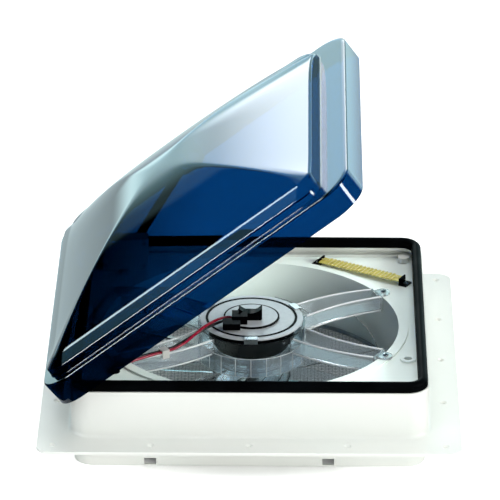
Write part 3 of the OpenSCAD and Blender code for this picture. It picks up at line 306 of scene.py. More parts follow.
feed(grain, grain_out, Colour=tinted, Roughness=polished, Height=fine)
print("group", grain.name)

# %% Settled dust
LOOKS_UP, SPECK = (0.5, 0.98), (0.42, 0.72)
dust, dust_in, dust_out = new_group(
    "settled dust", "ShaderNodeTree",
    {"Colour": (COLOUR, rgba(0.5, 0.5, 0.5)), "Dust": (COLOUR, rgba(0.6, 0.58, 0.52)),
     "Amount": (NUMBER, 0.1)},
    {"Colour": COLOUR})
facing = put(dust, "ShaderNodeSeparateXYZ", Vector=put(dust, "ShaderNodeNewGeometry").outputs["Normal"])
specks = put(dust, "ShaderNodeTexNoise", Vector=put(dust, "ShaderNodeTexCoord").outputs["Object"],
             Scale=60.0, Detail=6.0, Roughness=0.7)
lying = reckon(dust, "MULTIPLY", ramp(dust, facing.outputs["Z"], *LOOKS_UP),
               ramp(dust, specks.outputs[0], *SPECK))
much = reckon(dust, "MULTIPLY", lying, dust_in.outputs["Amount"])
feed(dust, dust_out, Colour=mixed(dust, much, dust_in.outputs["Colour"], dust_in.outputs["Dust"]))
print("group", dust.name)

# %% Drawn metal
drawn, drawn_in, drawn_out = new_group(
    "drawn metal", "ShaderNodeTree",
    {"Colour": (COLOUR, rgba(0.6, 0.6, 0.6)), "Shade": (COLOUR, rgba(0.5, 0.5, 0.5)),
     "Stretch": (VECTOR, (40.0, 40.0, 900.0)), "Rough Low": (NUMBER, 0.2), "Rough High": (NUMBER, 0.4)},
    {"Colour": COLOUR, "Roughness": NUMBER, "Height": NUMBER})
lengths = put(drawn, "ShaderNodeVectorMath", {"operation": "MULTIPLY"})
fill(drawn, lengths.inputs[0], put(drawn, "ShaderNodeTexCoord").outputs["Object"])
fill(drawn, lengths.inputs[1], drawn_in.outputs["Stretch"])
lines = put(drawn, "ShaderNodeTexNoise", Vector=lengths.outputs[0], Scale=1.0, Detail=5.0).outputs[0]
streaked = mixed(drawn, ramp(drawn, lines, *DRIFT), drawn_in.outputs["Colour"], drawn_in.outputs["Shade"])
rubbed = ramp(drawn, lines, *POLISH, drawn_in.outputs["Rough Low"], drawn_in.outputs["Rough High"])
feed(drawn, drawn_out, Colour=streaked, Roughness=rubbed, Height=lines)
print("group", drawn.name)

# %% [markdown]
# ## Finishes
# Each finish is one Principled shader fed by those groups. Constant values such
# as the bending of glass are set straight on the shader. The clear and smoked
# plastics let lamp light through as tinted shadow, because a real clear bracket
# does not throw a black one.

# %% Plastic and rubber finishes
GRAIN_DEPTH = 0.0004


def new_finish(name):
    finish = bpy.data.materials.new(name)
    finish.use_nodes = True
    return finish, finish.node_tree, finish.node_tree.nodes["Principled BSDF"]


def use_group(tree, group, **values):
    return put(tree, "ShaderNodeGroup", {"node_tree": group}, **values)


def moulded(name, colour, shade, rough, dusty=0.0, bump=0.04, grain_scale=1400.0, mottle=14.0, specular=0.5):
    finish, tree, shader = new_finish(name)
    look = use_group(tree, grain, Colour=rgba(*colour), Shade=rgba(*shade), Mottle_Scale=mottle,
                     Grain_Scale=grain_scale, Rough_Low=rough[0], Rough_High=rough[1])
    face = look.outputs["Colour"]
    if dusty:
        face = use_group(tree, dust, Colour=face, Amount=dusty).outputs["Colour"]
    raised = put(tree, "ShaderNodeBump", Height=look.outputs["Height"], Strength=bump, Distance=GRAIN_DEPTH)
    feed(tree, shader, Base_Color=face, Roughness=look.outputs["Roughness"], Normal=raised.outputs[0],
         Specular_IOR_Level=specular)
    return finish


finishes = {
    "white_frame": moulded("off-white frame", (0.75, 0.765, 0.73), (0.74, 0.765, 0.73), (0.3, 0.38),
                           dusty=0.05),
    # painted light: the shroud's white is lighter and greener than the frame's. This stands in for light and
    # teal reflections in its dim duct.
    "white_inner": moulded("white shroud with painted duct light", (0.86, 0.93, 0.89), (0.82, 0.90, 0.86), (0.28, 0.38), dusty=0.04),
    "white_plastic": moulded("white fittings", (0.82, 0.83, 0.80), (0.78, 0.79, 0.76), (0.25, 0.35)),
    "black_rubber": moulded("seal rubber", (0.0008, 0.001, 0.0012), (0.0015, 0.002, 0.0025), (0.34, 0.5),
                            bump=0.2, grain_scale=900.0, mottle=30.0, specular=0.01),
    "black_motor": moulded("black motor paint", (0.001, 0.0015, 0.002), (0.002, 0.0025, 0.003), (0.22, 0.4),
                           mottle=40.0, specular=0.03),
    "black_plastic": moulded("black fittings", (0.001, 0.0012, 0.0015), (0.002, 0.002, 0.0025), (0.2, 0.34),
                             specular=0.02),
    "red_wire": moulded("crimson sheath", (0.40, 0.006, 0.035), (0.32, 0.005, 0.025), (0.22, 0.32),
                        mottle=90.0),
    "black_wire": moulded("black sheath", (0.006, 0.006, 0.007), (0.012, 0.012, 0.014), (0.22, 0.32),
                          mottle=90.0),
    "grey_screen": moulded("grey screen", (0.30, 0.35, 0.37), (0.24, 0.29, 0.31), (0.4, 0.6), mottle=60.0),
    "gold_card": moulded("olive gold card", (0.80, 0.70, 0.16), (0.62, 0.54, 0.10), (0.25, 0.45), bump=0.25,
                         grain_scale=700.0, mottle=180.0),
}
print("moulded finishes", sorted(finishes))

# %% Metal finishes
SCRATCH_BUMP, SCRATCH_DEPTH = 0.05, 0.0003


def metal(name, colour, shade, stretch, rough, metallic=1.0):
    finish, tree, shader = new_finish(name)
    look = use_group(tree, drawn, Colour=rgba(*colour), Shade=rgba(*shade), Stretch=stretch,
                     Rough_Low=rough[0], Rough_High=rough[1])
    raised = put(tree, "ShaderNodeBump", Height=look.outputs["Height"], Strength=SCRATCH_BUMP,
                 Distance=SCRATCH_DEPTH)
    feed(tree, shader, Base_Color=look.outputs["Colour"], Roughness=look.outputs["Roughness"],
         Normal=raised.outputs[0], Metallic=metallic)
    return finish


metals = {
    "motor_plate": metal("grey motor plate", (0.76, 0.81, 0.84), (0.71, 0.76, 0.79), (300, 300, 30),
                         (0.3, 0.4), metallic=0.1),
    "bright_steel": metal("bright steel", (0.62, 0.63, 0.65), (0.5, 0.51, 0.53), (90, 90, 900), (0.2, 0.36)),
    "grey_steel": metal("grey coated steel", (0.16, 0.17, 0.18), (0.11, 0.12, 0.13), (200, 60, 200),
                        (0.34, 0.5), metallic=0.6),
    "resistor_wire": metal("bright resistance wire", (0.95, 0.88, 0.50), (0.85, 0.76, 0.34), (500, 500, 500),
                           (0.25, 0.4), metallic=0.5),
}
finishes.update(metals)
print("metal finishes", sorted(metals))

# %% [markdown]
# The lid's sheet is smoked acrylic. Its tint could be one colour, but a painted shade scales it down along X
# towards the hinge. This stands in for the dark, shaded inside seen through the lid there.

# %% Clear and smoked finishes
ACRYLIC_BEND, CLEAR_GRAIN = 1.49, 300.0
# painted shade: the lid's tint is scaled down along X towards the hinge, from the first place to the second,
# keeping this share at the first
PAINTED_SHADE_FROM, PAINTED_SHADE_TO, PAINTED_SHADE_SHARE = -0.155, -0.03, 0.25


def see_through(name, colour, shade, lamp_tint, rough, bend, mottle, clarity=1.0, painted_shade_end=None):
    """A glassy finish; the last argument, if given, is a stretch along X over which painted shade darkens the
    tint, and the share of the tint left at its start.
    """
    finish, tree, shader = new_finish(name)
    look = use_group(tree, grain, Colour=rgba(*colour), Shade=rgba(*shade), Mottle_Scale=mottle,
                     Grain_Scale=CLEAR_GRAIN, Rough_Low=rough[0], Rough_High=rough[1])
    tint = look.outputs["Colour"]
    # painted shade: the tint is scaled down along X
    if painted_shade_end:
        start, end, share = painted_shade_end
        place = put(tree, "ShaderNodeTexCoord").outputs["Object"]
        along = put(tree, "ShaderNodeSeparateXYZ", Vector=place).outputs["X"]
        left = ramp(tree, along, start, end, share, 1.0, "SMOOTHSTEP")
        tint = put(tree, "ShaderNodeVectorMath", {"operation": "SCALE"}, Vector=tint, Scale=left).outputs[0]
    feed(tree, shader, Base_Color=tint, Roughness=look.outputs["Roughness"], Transmission_Weight=clarity,
         IOR=bend)
    passing = put(tree, "ShaderNodeBsdfTransparent", Color=rgba(*lamp_tint))
    surface = by_ray(tree, "Is Shadow Ray", shader.outputs[0], passing.outputs[0])
    feed(tree, tree.nodes["Material Output"], Surface=surface)
    return finish


CLEAR_LOOK = ((0.94, 0.98, 1.0), (0.90, 0.96, 0.99), (0.93, 0.96, 0.97), (0.03, 0.09), ACRYLIC_BEND, 30.0)
finishes["smoked_lid"] = see_through(
    "smoked blue lid", (0.001, 0.030, 0.12), (0.001, 0.026, 0.105), (0.004, 0.016, 0.03), (0.0, 0.02),
    ACRYLIC_BEND, 5.0, painted_shade_end=(PAINTED_SHADE_FROM, PAINTED_SHADE_TO, PAINTED_SHADE_SHARE))
finishes["clear_plastic"] = see_through("clear bracket plastic", *CLEAR_LOOK)
print("clear finishes", finishes["smoked_lid"].name, "and", finishes["clear_plastic"].name)

# %% [markdown]
# ## Dressing a solid
# Moulded parts have soft edges that catch a line of light. The solids arrive with
# sharp edges, so a copy of each has its loose triangles welded, its flat faces
# joined and its sharp edges bevelled by a few tenths of a millimetre. The copy
# then stands for the solid and rides on the same body.

# %% Piece helpers
slot_of = {row["node"]: row["material_slot"] for row in frame["record"]["subparts"]}


def add_piece(name, mesh, slot, body, *stands_for):
    piece = bpy.data.objects.new(name, mesh)
    scene.collection.objects.link(piece)
    if not mesh.materials:
        mesh.materials.append(finishes[slot])
    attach(piece, body)
    if stands_for:
        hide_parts(*stands_for)
    return piece


def smooth(mesh, angle):
    """Shade a mesh smooth, apart from edges sharper than an angle in degrees."""
    mesh.polygons.foreach_set("use_smooth", [True] * len(mesh.polygons))
    mesh.set_sharp_from_angle(angle=math.radians(angle))


def plain_mesh(name, points, faces, smooth_angle=None):
    mesh = bpy.data.meshes.new(name)
    mesh.from_pydata([tuple(p) for p in points], [], faces)
    if smooth_angle is not None:
        smooth(mesh, smooth_angle)
    mesh.update()
    return mesh


def evaluated(mesh, kind, settings, inputs=None):
    """A mesh as one modifier leaves it; a tree's inputs are given by their sockets' identifiers."""
    holder = bpy.data.objects.new("holder", mesh)
    scene.collection.objects.link(holder)
    modifier = holder.modifiers.new(kind.lower(), kind)
    for key, value in settings.items():
        setattr(modifier, key, value)
    for identifier, value in (inputs or {}).items():
        modifier[identifier] = value
    graph = bpy.context.evaluated_depsgraph_get()
    made = bpy.data.meshes.new_from_object(holder.evaluated_get(graph))
    holder.modifiers.clear()
    bpy.data.objects.remove(holder)
    return made


print("solids with a slot", len(slot_of))

# %% Softened copies
WELD, FLAT_ANGLE, SHARP_ANGLE = 2e-6, 0.4, 40
BEVEL_MM = {
    "base_frame": 0.9, "fan_shroud": 0.5, "motor_bracket": 0.35, "motor_case": 0.6, "motor_top_plate": 0.4,
    "connector_block": 0.5, "wire_clip": 0.4, "insect_screen_ring": 0.5, "operator_housing": 0.6,
    "operator_cover": 0.4, "speed_switch": 0.4, "crank_knob": 0.6, "speed_knob": 0.6,
    "resistor_terminals": 0.15, "motor_clips": 0.2, "lift_arm": 0.4, "lift_bracket": 0.4,
    "base_hinges": 0.25, "lid_hinges": 0.25,
}


def welded_shape(node):
    """A solid's loose triangles, joined where their corners meet."""
    shape = bmesh.new()
    shape.from_mesh(nodes[node].data)
    bmesh.ops.remove_doubles(shape, verts=shape.verts, dist=WELD)
    return shape


def shape_mesh(name, shape, smooth_angle):
    """A plain mesh of an edited shape, which is then let go."""
    shape.verts.index_update()
    points = [v.co.copy() for v in shape.verts]
    faces = [[v.index for v in f.verts] for f in shape.faces]
    shape.free()
    return plain_mesh(name, points, faces, smooth_angle)


def softened(node, width):
    shape = welded_shape(node)
    bmesh.ops.dissolve_limit(shape, angle_limit=math.radians(FLAT_ANGLE), verts=shape.verts,
                             edges=shape.edges)
    made = evaluated(shape_mesh(node + " welded", shape, SHARP_ANGLE), "BEVEL", {
        "width": width * MM, "segments": 2, "limit_method": "ANGLE", "angle_limit": math.radians(SHARP_ANGLE),
        "use_clamp_overlap": True, "harden_normals": True})
    return add_piece(node + "_soft", made, slot_of[node], nodes[node]["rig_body"], node)


soft_pieces = {node: softened(node, width) for node, width in BEVEL_MM.items()}
print({name: len(piece.data.polygons) for name, piece in soft_pieces.items()})

# %% [markdown]
# The shroud's duct is deep, and lamps that suit the frame leave it dim. Stronger
# lamps could reach it, but the frame would burn out, so one more lamp is linked to
# the shroud alone.

# %% A lamp for the duct
duct_lamp = soft_lamp("lamp into the duct", (2.0, -1.1, 0.95), 63, 0.8, (0.86, 1.0, 0.95))
duct_lamp.light_linking.receiver_collection = bpy.data.collections.new("duct")
duct_lamp.light_linking.receiver_collection.objects.link(soft_pieces["fan_shroud"])
print(duct_lamp.name, "lights", soft_pieces["fan_shroud"].name)

# %% [markdown]
# ## Solids kept as they are
# Pins, shafts, gears and other small rigid parts already have the right shape.
# They stay as solids and only take their finish.

# %% Finish the kept solids
for name, solid in nodes.items():
    for material_slot in solid.material_slots:
        material_slot.material = finishes[slot_of[name]]
print("finished", len(nodes), "solids")

# %% [markdown]
# ## The smoked lid
# The lid is one vacuum-formed sheet: a skirt, a flat rim, a low step, a sloping
# strip and a dome whose four panels meet in creases that run to the corners. It
# could be carved with modifiers, but each level is a rounded rectangle, so the
# sheet is built as a stack of such loops, outside and inside, joined into one skin.

# %% Loops and skins
def rounded_box(x0, x1, y0, y1, radius, per_corner=20, per_side=40):
    """Points round a rectangle, with 1 on its +X side fading to 0 round the corners."""
    ring = []
    corners = [(x1 - radius, y0 + radius, -90), (x1 - radius, y1 - radius, 0),
               (x0 + radius, y1 - radius, 90), (x0 + radius, y0 + radius, 180)]
    for k, (cx, cy, start) in enumerate(corners):
        for j in range(per_corner + 1):
            part = j / per_corner
            a = math.radians(start + 90 * part)
            ring.append((cx + radius * math.cos(a), cy + radius * math.sin(a), (part, 1 - part, 0, 0)[k]))
        nx, ny, next_start = corners[(k + 1) % 4]
        ends = (ring[-1][:2], (nx + radius * math.cos(math.radians(next_start)),
                               ny + radius * math.sin(math.radians(next_start))))
        for j in range(1, per_side):
            part = j / per_side
            ring.append((*(ends[0][i] * (1 - part) + ends[1][i] * part for i in (0, 1)), (1, 0, 0, 0)[k]))
    return ring


def skin(loops, closed=False, capped=False):
    """Points and faces that join loops of equal count; the stack may close on itself or have flat caps."""
    count = len(loops[0])
    points = [p for loop in loops for p in loop]
    faces = []
    for i in range(len(loops) - (0 if closed else 1)):
        a, b = i * count, ((i + 1) % len(loops)) * count
        faces += [(a + j, a + (j + 1) % count, b + (j + 1) % count, b + j) for j in range(count)]
    if capped:
        faces += [tuple(range(count))[::-1], tuple(range(len(points) - count, len(points)))]
    return points, faces


def eased(profile, steps=8, most=0.45):
    """Rounds each corner of a profile; the last number of a row is how far the rounding reaches."""
    out = [profile[0][:-1]]
    for before, row, after in zip(profile, profile[1:], profile[2:]):
        reach, key = row[-1], row[:-1]
        ends = []
        for other in (before, after):
            far = math.dist((row[0], row[3]), (other[0], other[3]))
            share = min(most, reach / far)
            ends.append([q + (o - q) * share for q, o in zip(key, other)])
        for j in range(steps + 1):
            t = j / steps
            out.append([(1 - t) ** 2 * a + 2 * t * (1 - t) * q + t * t * b
                        for a, q, b in zip(ends[0], key, ends[1])])
    return out + [profile[-1][:-1]]


print("a loop has", len(rounded_box(-1, 1, -1, 1, 0.2)), "points")

# %% The lid's levels
HINGE_X, HINGE_Z, LID_OPEN = -187.0, 45.0, math.radians(37.8)
LID_X0, LID_X1, LID_HALF, LID_TOP = -192.8, 187.6, 197.6, 67.9
OUTSIDE = [  # set in, set in on the free side, corner radius, height, height on the free side, rounding
    (0.5, 0.5, 31.5, -26.4, -26.4, 0), (0, 0, 32, 0, 0, 2.4), (10, 32.2, 25, 0, 0, 1.2),
    (10.8, 32.6, 24, 8.6, 5.4, 0.8), (21.6, 33.57, 17.8, 12.94, 12.57, 0.2), (23, 33.7, 17, 13.5, 13.5, 0)]
INSIDE = [
    (3.0, 3.0, 29.0, -26.4, -26.4, 0), (2.5, 2.5, 29.5, -2.5, -2.5, 1.0),
    (12.5, 34.7, 22.5, -2.5, -2.5, 1.0), (13.3, 35.1, 21.5, 6.3, 3.2, 1.0),
    (23.3, 35.9, 16.1, 10.64, 10.28, 0.2), (24.6, 36.0, 15.4, 11.2, 11.2, 0)]


def open_lid(x, y, z):
    """A place on the closed lid in millimetres, swung open about the hinge and turned to metres."""
    c, s = math.cos(LID_OPEN), math.sin(LID_OPEN)
    x, z = x - HINGE_X, z - HINGE_Z
    return Vector((x * c - z * s + HINGE_X, y, x * s + z * c + HINGE_Z)) * MM


def lid_loop(row):
    side, free, radius, up, up_free = row
    half = LID_HALF - side
    ring = rounded_box(LID_X0 + side, LID_X1 - free, -half, half, radius)
    return [(x, y, LID_TOP + up + (up_free - up) * share) for x, y, share in ring]


print("levels outside", len(OUTSIDE), "inside", len(INSIDE))

# %% [markdown]
# Each panel of the dome is a curve that falls to one side, and the lower of two
# curves wins. A plain minimum would leave knife edges, so the two are blended over
# a small width. The far creases of the real lid are much rounder than that, and
# the crease at the foot of the near panel is crisper and stands higher.

# %% The lid's dome
DOME_POWER, GROIN_SOFT, APEX_UP = 1.8, 0.008, 59.5
FAR_DROP, FAR_SOFT, FAR_FROM, FAR_TO = 7.0, 0.22, 0.15, 0.85
NEAR_LIFT, NEAR_POWER, STRIP_UP = 2.4, 8, 4.9


def held(value):
    """A share held between nought and one."""
    return min(1, max(0, value))


def panels_at(u, v):
    return 1 - abs(u) ** DOME_POWER, 1 - abs(v) ** DOME_POWER


def dome_share(u, v):
    """Height of the dome as a share of its rise, from -1 to 1 across both ways."""
    a, b = panels_at(u, v)
    low = min(a, b)
    return low - GROIN_SOFT * math.log(math.exp((low - a) / GROIN_SOFT) + math.exp((low - b) / GROIN_SOFT))


def far_drop(u, v):
    """How far the dome's two far creases hang below sharp ones; they are drawn much rounder."""
    a, b = panels_at(u, v)
    t = held((v - FAR_FROM) / (FAR_TO - FAR_FROM))
    return FAR_DROP * t * t * (3 - 2 * t) * math.log2(1 + math.exp(-abs(a - b) / FAR_SOFT))


def near_lift(v, share):
    """How far the crease at the foot of the near panel stands above a plain dome's."""
    return NEAR_LIFT * held(-v) ** NEAR_POWER * held(share)


print("dome at its crown", round(dome_share(0, 0), 4), "and on a crease", round(dome_share(0.5, 0.5), 4))

# %% The lid's sheet
LID_WALL, FOOT_POWER = 2.5, 8


def lid_sheet(profile, apex, rings=44):
    """Loops from the skirt's edge up to the crown, for one face of the sheet."""
    loops = [lid_loop(row) for row in eased(profile)]
    foot, foot_up = loops[-1], profile[-1][3]
    xs, ys = [p[0] for p in foot], [p[1] for p in foot]
    mid, half_x, half_y = (min(xs) + max(xs)) / 2, (max(xs) - min(xs)) / 2, max(ys)
    rise = (apex - foot_up) / dome_share(0, 0)
    for k in range(1, rings + 1):
        s = 1 - k / (rings + 0.5)
        loop = []
        for x, y, z in foot:
            u, v = (x - mid) / half_x, y / half_y
            here, edge = dome_share(u * s, v * s), dome_share(u, v)
            loop.append((mid + (x - mid) * s, y * s, z + rise * (here - edge * s ** FOOT_POWER)))
        loops.append(loop)

    def settled(x, y, z):
        u, v, up = (x - mid) / half_x, y / half_y, z - LID_TOP
        drop = far_drop(u, v) * held(up / foot_up)
        return x, y, z - drop + near_lift(v, 1 + (up - foot_up) / STRIP_UP)

    return [[settled(*p) for p in loop] for loop in loops]


outer, inner = lid_sheet(OUTSIDE, APEX_UP), lid_sheet(INSIDE, APEX_UP - LID_WALL)
points, faces = skin(inner[::-1] + outer)
ring_count = len(outer[0])
for base, flip in ((0, True), (len(points) - ring_count, False)):
    middle = Vector((0, 0, 0))
    for p in points[base:base + ring_count]:
        middle += Vector(p) / ring_count
    points.append(tuple(middle))
    for j in range(ring_count):
        a, b = base + j, base + (j + 1) % ring_count
        faces.append((b, a, len(points) - 1) if flip else (a, b, len(points) - 1))
lid_mesh = plain_mesh("lid sheet", [open_lid(*p) for p in points], faces, smooth_angle=60)
add_piece("lid_sheet", lid_mesh, "smoked_lid", "lid", "lid")
print("lid faces", len(lid_mesh.polygons))

# %% [markdown]
# ## The seal
# The black seal is an extruded rubber strip pressed on the frame's lip, crowned on
# top with a shallow groove along each side. A curve with a profile could make it,
# but may twist at the corners. So its section is walked round the same kind of
# loop as the lid's: the corners stay round and the strip closes on itself.

# %% The seal strip
SEAL_OUT, SEAL_CORNER = 178.1, 20.8
SEAL_SECTION = [  # set in from the outer face, height
    (0.5, 52.95), (0.0, 53.5), (0.0, 55.6), (0.4, 56.3), (0.4, 57.1), (0.0, 57.8), (0.2, 59.4), (1.1, 61.1),
    (2.6, 62.4), (5.0, 63.0), (7.4, 62.4), (8.9, 61.1), (9.8, 59.4), (10.0, 57.8), (9.6, 57.1), (9.6, 56.3),
    (10.0, 55.6), (10.0, 53.5), (9.5, 52.95)]
seal_loops = []
for set_in, height in SEAL_SECTION:
    half = SEAL_OUT - set_in
    ring = rounded_box(-half, half, -half, half, SEAL_CORNER - set_in)
    seal_loops.append([Vector((x, y, height)) * MM for x, y, _ in ring])
seal_mesh = plain_mesh("seal strip", *skin(seal_loops, closed=True), smooth_angle=70)
add_piece("seal_strip", seal_mesh, "black_rubber", "base", "lid_seal")
print("seal faces", len(seal_mesh.polygons))

# %% [markdown]
# ## Wires and winding
# A wire is a circle swept along a path. Geometry Nodes does this in one tree: the
# path comes in as a chain of edges, becomes a curve, and a round section runs
# along it. The same tree makes the two motor wires, the resistor's winding and,
# further on, the bracket's bright edges and the ribs of its cup.

# %% Tree helpers
GEOMETRY, WHOLE, STUFF = "NodeSocketGeometry", "NodeSocketInt", "NodeSocketMaterial"


def end_tree(tree, tree_in, tree_out, geometry):
    """Make every copy real, give it the finish that comes in, and send it out."""
    whole = put(tree, "GeometryNodeRealizeInstances", Geometry=geometry)
    dressed = put(tree, "GeometryNodeSetMaterial", Geometry=whole.outputs[0],
                  Material=tree_in.outputs["Finish"])
    tree.links.new(dressed.outputs[0], tree_out.inputs[0])
    print("tree", tree.name, "nodes", len(tree.nodes))


def run_tree(tree, mesh, **values):
    """A mesh put through a tree, with the tree's inputs set by name."""
    sockets = {item.name: item.identifier for item in tree.interface.items_tree if item.in_out == "INPUT"}
    inputs = {sockets[name]: value for name, value in values.items()}
    return evaluated(mesh, "NODES", {"node_group": tree}, inputs)


print("tree sockets", GEOMETRY, WHOLE, STUFF)

# %% The sweeping tree
sweep, sweep_in, sweep_out = new_group(
    "swept wire", "GeometryNodeTree",
    {"Path": (GEOMETRY, None), "Radius": (NUMBER, 0.001), "Sides": (WHOLE, 12), "Finish": (STUFF, None)},
    {"Geometry": GEOMETRY})
section = put(sweep, "GeometryNodeCurvePrimitiveCircle", Resolution=sweep_in.outputs["Sides"],
              Radius=sweep_in.outputs["Radius"])
path = put(sweep, "GeometryNodeMeshToCurve", Mesh=sweep_in.outputs["Path"])
tube = put(sweep, "GeometryNodeCurveToMesh", Curve=path.outputs[0], Profile_Curve=section.outputs[0],
           Fill_Caps=True)
round_tube = put(sweep, "GeometryNodeSetShadeSmooth", Geometry=tube.outputs[0])
end_tree(sweep, sweep_in, sweep_out, round_tube.outputs[0])


def swept(name, routes, radius, sides, slot, body, *stands_for, finish=None):
    """A piece of round strands, one along each route; the radius is in millimetres."""
    chain = bpy.data.meshes.new(name + " path")
    points, edges = [], []
    for route in routes:
        edges += [(len(points) + k, len(points) + k + 1) for k in range(len(route) - 1)]
        points += route
    chain.from_pydata(points, edges, [])
    made = run_tree(sweep, chain, Radius=radius * MM, Sides=sides, Finish=finishes[finish or slot])
    print(name, "length mm", round(sum((points[b] - points[a]).length for a, b in edges) / MM, 1))
    return add_piece(name, made, slot, body, *stands_for)


# %% The two motor wires
WIRE_R, WIRE_SIDES = 1.45, 14


def smooth_route(stops, steps=6):
    """A smooth path through every stop."""
    stops = [Vector(p) * MM for p in stops]
    out = []
    for i in range(len(stops) - 1):
        a, b, c, d = (stops[max(i - 1, 0)], stops[i], stops[i + 1], stops[min(i + 2, len(stops) - 1)])
        for k in range(steps):
            t = k / steps
            out.append(0.5 * (2 * b + (c - a) * t + (2 * a - 5 * b + 4 * c - d) * t * t
                              + (3 * b - a - 3 * c + d) * t ** 3))
    return out + [stops[-1]]


RED_STOPS = [
    (-20, -9, 55), (-25, -9.5, 55.4), (-33, -15, 56), (-42, -25, 56), (-50, -35, 55), (-58, -46, 52.5),
    (-66, -57, 50), (-75, -66.5, 48.2), (-82, -71.2, 47.5), (-87.4, -74.7, 47.5), (-94, -79, 47.5),
    (-106, -87, 47.5), (-121, -98, 47.5), (-131, -104.5, 47), (-136.2, -107.8, 44.5), (-136.5, -108, 39),
    (-136.5, -109, 32), (-137, -113, 27.5), (-138.5, -119, 26.5), (-138.5, -125, 26.5)]
BLACK_STOPS = [
    (-20, -13, 54.4), (-25, -13.5, 54.3), (-33, -19, 54), (-42, -27, 53.6), (-51, -36, 52.5),
    (-60, -45, 50.8), (-70, -55, 48.8), (-77.5, -63, 47.8), (-83.5, -68.4, 47.5), (-89, -72.2, 47.5),
    (-95.5, -76.4, 47.5), (-108, -84, 47.5), (-123, -94.5, 47.5), (-133, -102, 47.5), (-139.2, -107, 45),
    (-139.5, -108, 39), (-139.5, -109, 32), (-140.5, -113, 27.5), (-143, -119, 26.5), (-143, -125, 26.5)]
swept("red_wire_sheath", [smooth_route(RED_STOPS)], WIRE_R, WIRE_SIDES, "red_wire", "base", "red_wire")
swept("black_wire_sheath", [smooth_route(BLACK_STOPS)], WIRE_R, WIRE_SIDES, "black_wire", "base",
      "black_wire")

# %% [markdown]
# The speed resistor is a bare wire wound round a gold card. The real winding lies
# flat on both faces with tight shoulders at the card's edges. A round helix would
# stand off the card, so the path is a squared spiral in the card's own frame,
# turned and set in place.

# %% The resistor winding
CARD_MIDDLE, CARD_TURN = Vector((115, 129, 46)), math.radians(-29.4)
TURNS, PITCH, HALF_WIDE, HALF_HIGH, LEAD = 18, 4.44, 7.5, 1.5, 8.0
WINDING_R, WINDING_SIDES, STEPS_A_TURN = 0.5, 8, 24


def shoulder(value):
    return math.copysign(math.sqrt(abs(value)), value)


def on_card(x, y, z):
    return (CARD_MIDDLE + Matrix.Rotation(CARD_TURN, 3, "Z") @ Vector((x, y, z))) * MM


def wound(degrees):
    a = math.radians(degrees)
    along = (degrees / 360 - TURNS / 2) * PITCH
    return along, HALF_WIDE * shoulder(math.sin(a)), HALF_HIGH * shoulder(math.cos(a))


spiral = [wound(360 * k / STEPS_A_TURN) for k in range(TURNS * STEPS_A_TURN + 1)]
spiral = [(spiral[0][0] - LEAD, *spiral[0][1:])] + spiral + [(spiral[-1][0] + LEAD, *spiral[-1][1:])]
swept("winding_wire", [[on_card(*p) for p in spiral]], WINDING_R, WINDING_SIDES, "resistor_wire", "base",
      "resistor_winding")

# %% [markdown]
# ## The clear bracket
# The bracket's four arms are open channels, a little cloudier than its cup. Their thick rounded edges catch
# the light and show as white lines. Bevels alone are too fine for that, so a white bead is swept along each
# upper and lower edge, bowed sideways and narrowing as the arm does. Its whiteness is a painted highlight.

# %% The bracket's cloudy arms and painted highlight beads
ARMS = [(29, 1), (151, -1), (213, 1), (-29, -1)]  # bearing and the side the arm bows to
ARM_IN, ARM_OUT, ARM_BOW, ARM_TOP, ARM_LOW = 57.5, 148.0, 5.0, 45.3, 29.6
ARM_HALF, ARM_NARROWS, CLOUDY_FROM, CLOUDY_CLARITY = 14.3, 4, 59.5, 0.88
BEAD_R, BEAD_SIDES = 1.1, 8


def arm_edge(bearing_deg, bow, side, height, steps=20):
    turn, edge = Matrix.Rotation(math.radians(bearing_deg), 3, "Z"), []
    for k in range(steps + 1):
        t = k / steps
        across = bow * 4 * ARM_BOW * t * (1 - t) + side * (ARM_HALF - ARM_NARROWS * t)
        edge.append(turn @ Vector((ARM_IN + (ARM_OUT - ARM_IN) * t, across, height)) * MM)
    return edge


# painted highlight: white beads stand in for the light caught on the clear arms' rounded edges, and on the
# cup's ribs and hoops
finishes["painted_highlight_edge"] = moulded("white edge with painted highlight", (0.93, 0.97, 0.98), (0.88, 0.94, 0.96), (0.12, 0.25),
                                   mottle=60.0)
finishes["cloudy_arms"] = see_through("cloudy clear arms", *CLEAR_LOOK, clarity=CLOUDY_CLARITY)
bracket = soft_pieces["motor_bracket"].data
bracket.materials.append(finishes["cloudy_arms"])
for face in bracket.polygons:
    face.material_index = int(face.center.xy.length > CLOUDY_FROM * MM)
arm_edges = [arm_edge(*arm, side, height)
             for arm in ARMS for side in (1, -1) for height in (ARM_TOP, ARM_LOW)]
swept("bracket_edges", arm_edges, BEAD_R, BEAD_SIDES, "clear_plastic", "base", finish="painted_highlight_edge")

# %% [markdown]
# The cup that holds the motor goes on below the drum as a deep clear sleeve. It is thick there and a little
# cloudy, with faint upright ribs and two hoops. These are white, a painted highlight like the bracket's
# beads. The sleeve is a ring of four loops, and the ribs and hoops are short routes for the same sweeping
# tree.

# %% The cup's sleeve and ribs
CUP_R, SLEEVE_LOW, SLEEVE_TOP = 55.2, 9.5, 29.5
SLEEVE_IN, SLEEVE_OUT, HOOP_OUT, RIB_OUT = 0.35, 1.35, 0.85, 1.3  # how far each lies outside the cup
RIB_COUNT, RIB_THICK, RIB_SIDES = 22, 0.4, 6
SLEEVE_BEND, SLEEVE_CLARITY = 1.35, 0.8


def at_bearing(radius, a, height):
    return Vector((radius * math.cos(a), radius * math.sin(a), height)) * MM


def around(radius, height, count=72):
    return [at_bearing(radius, 2 * math.pi * k / count, height) for k in range(count + 1)]


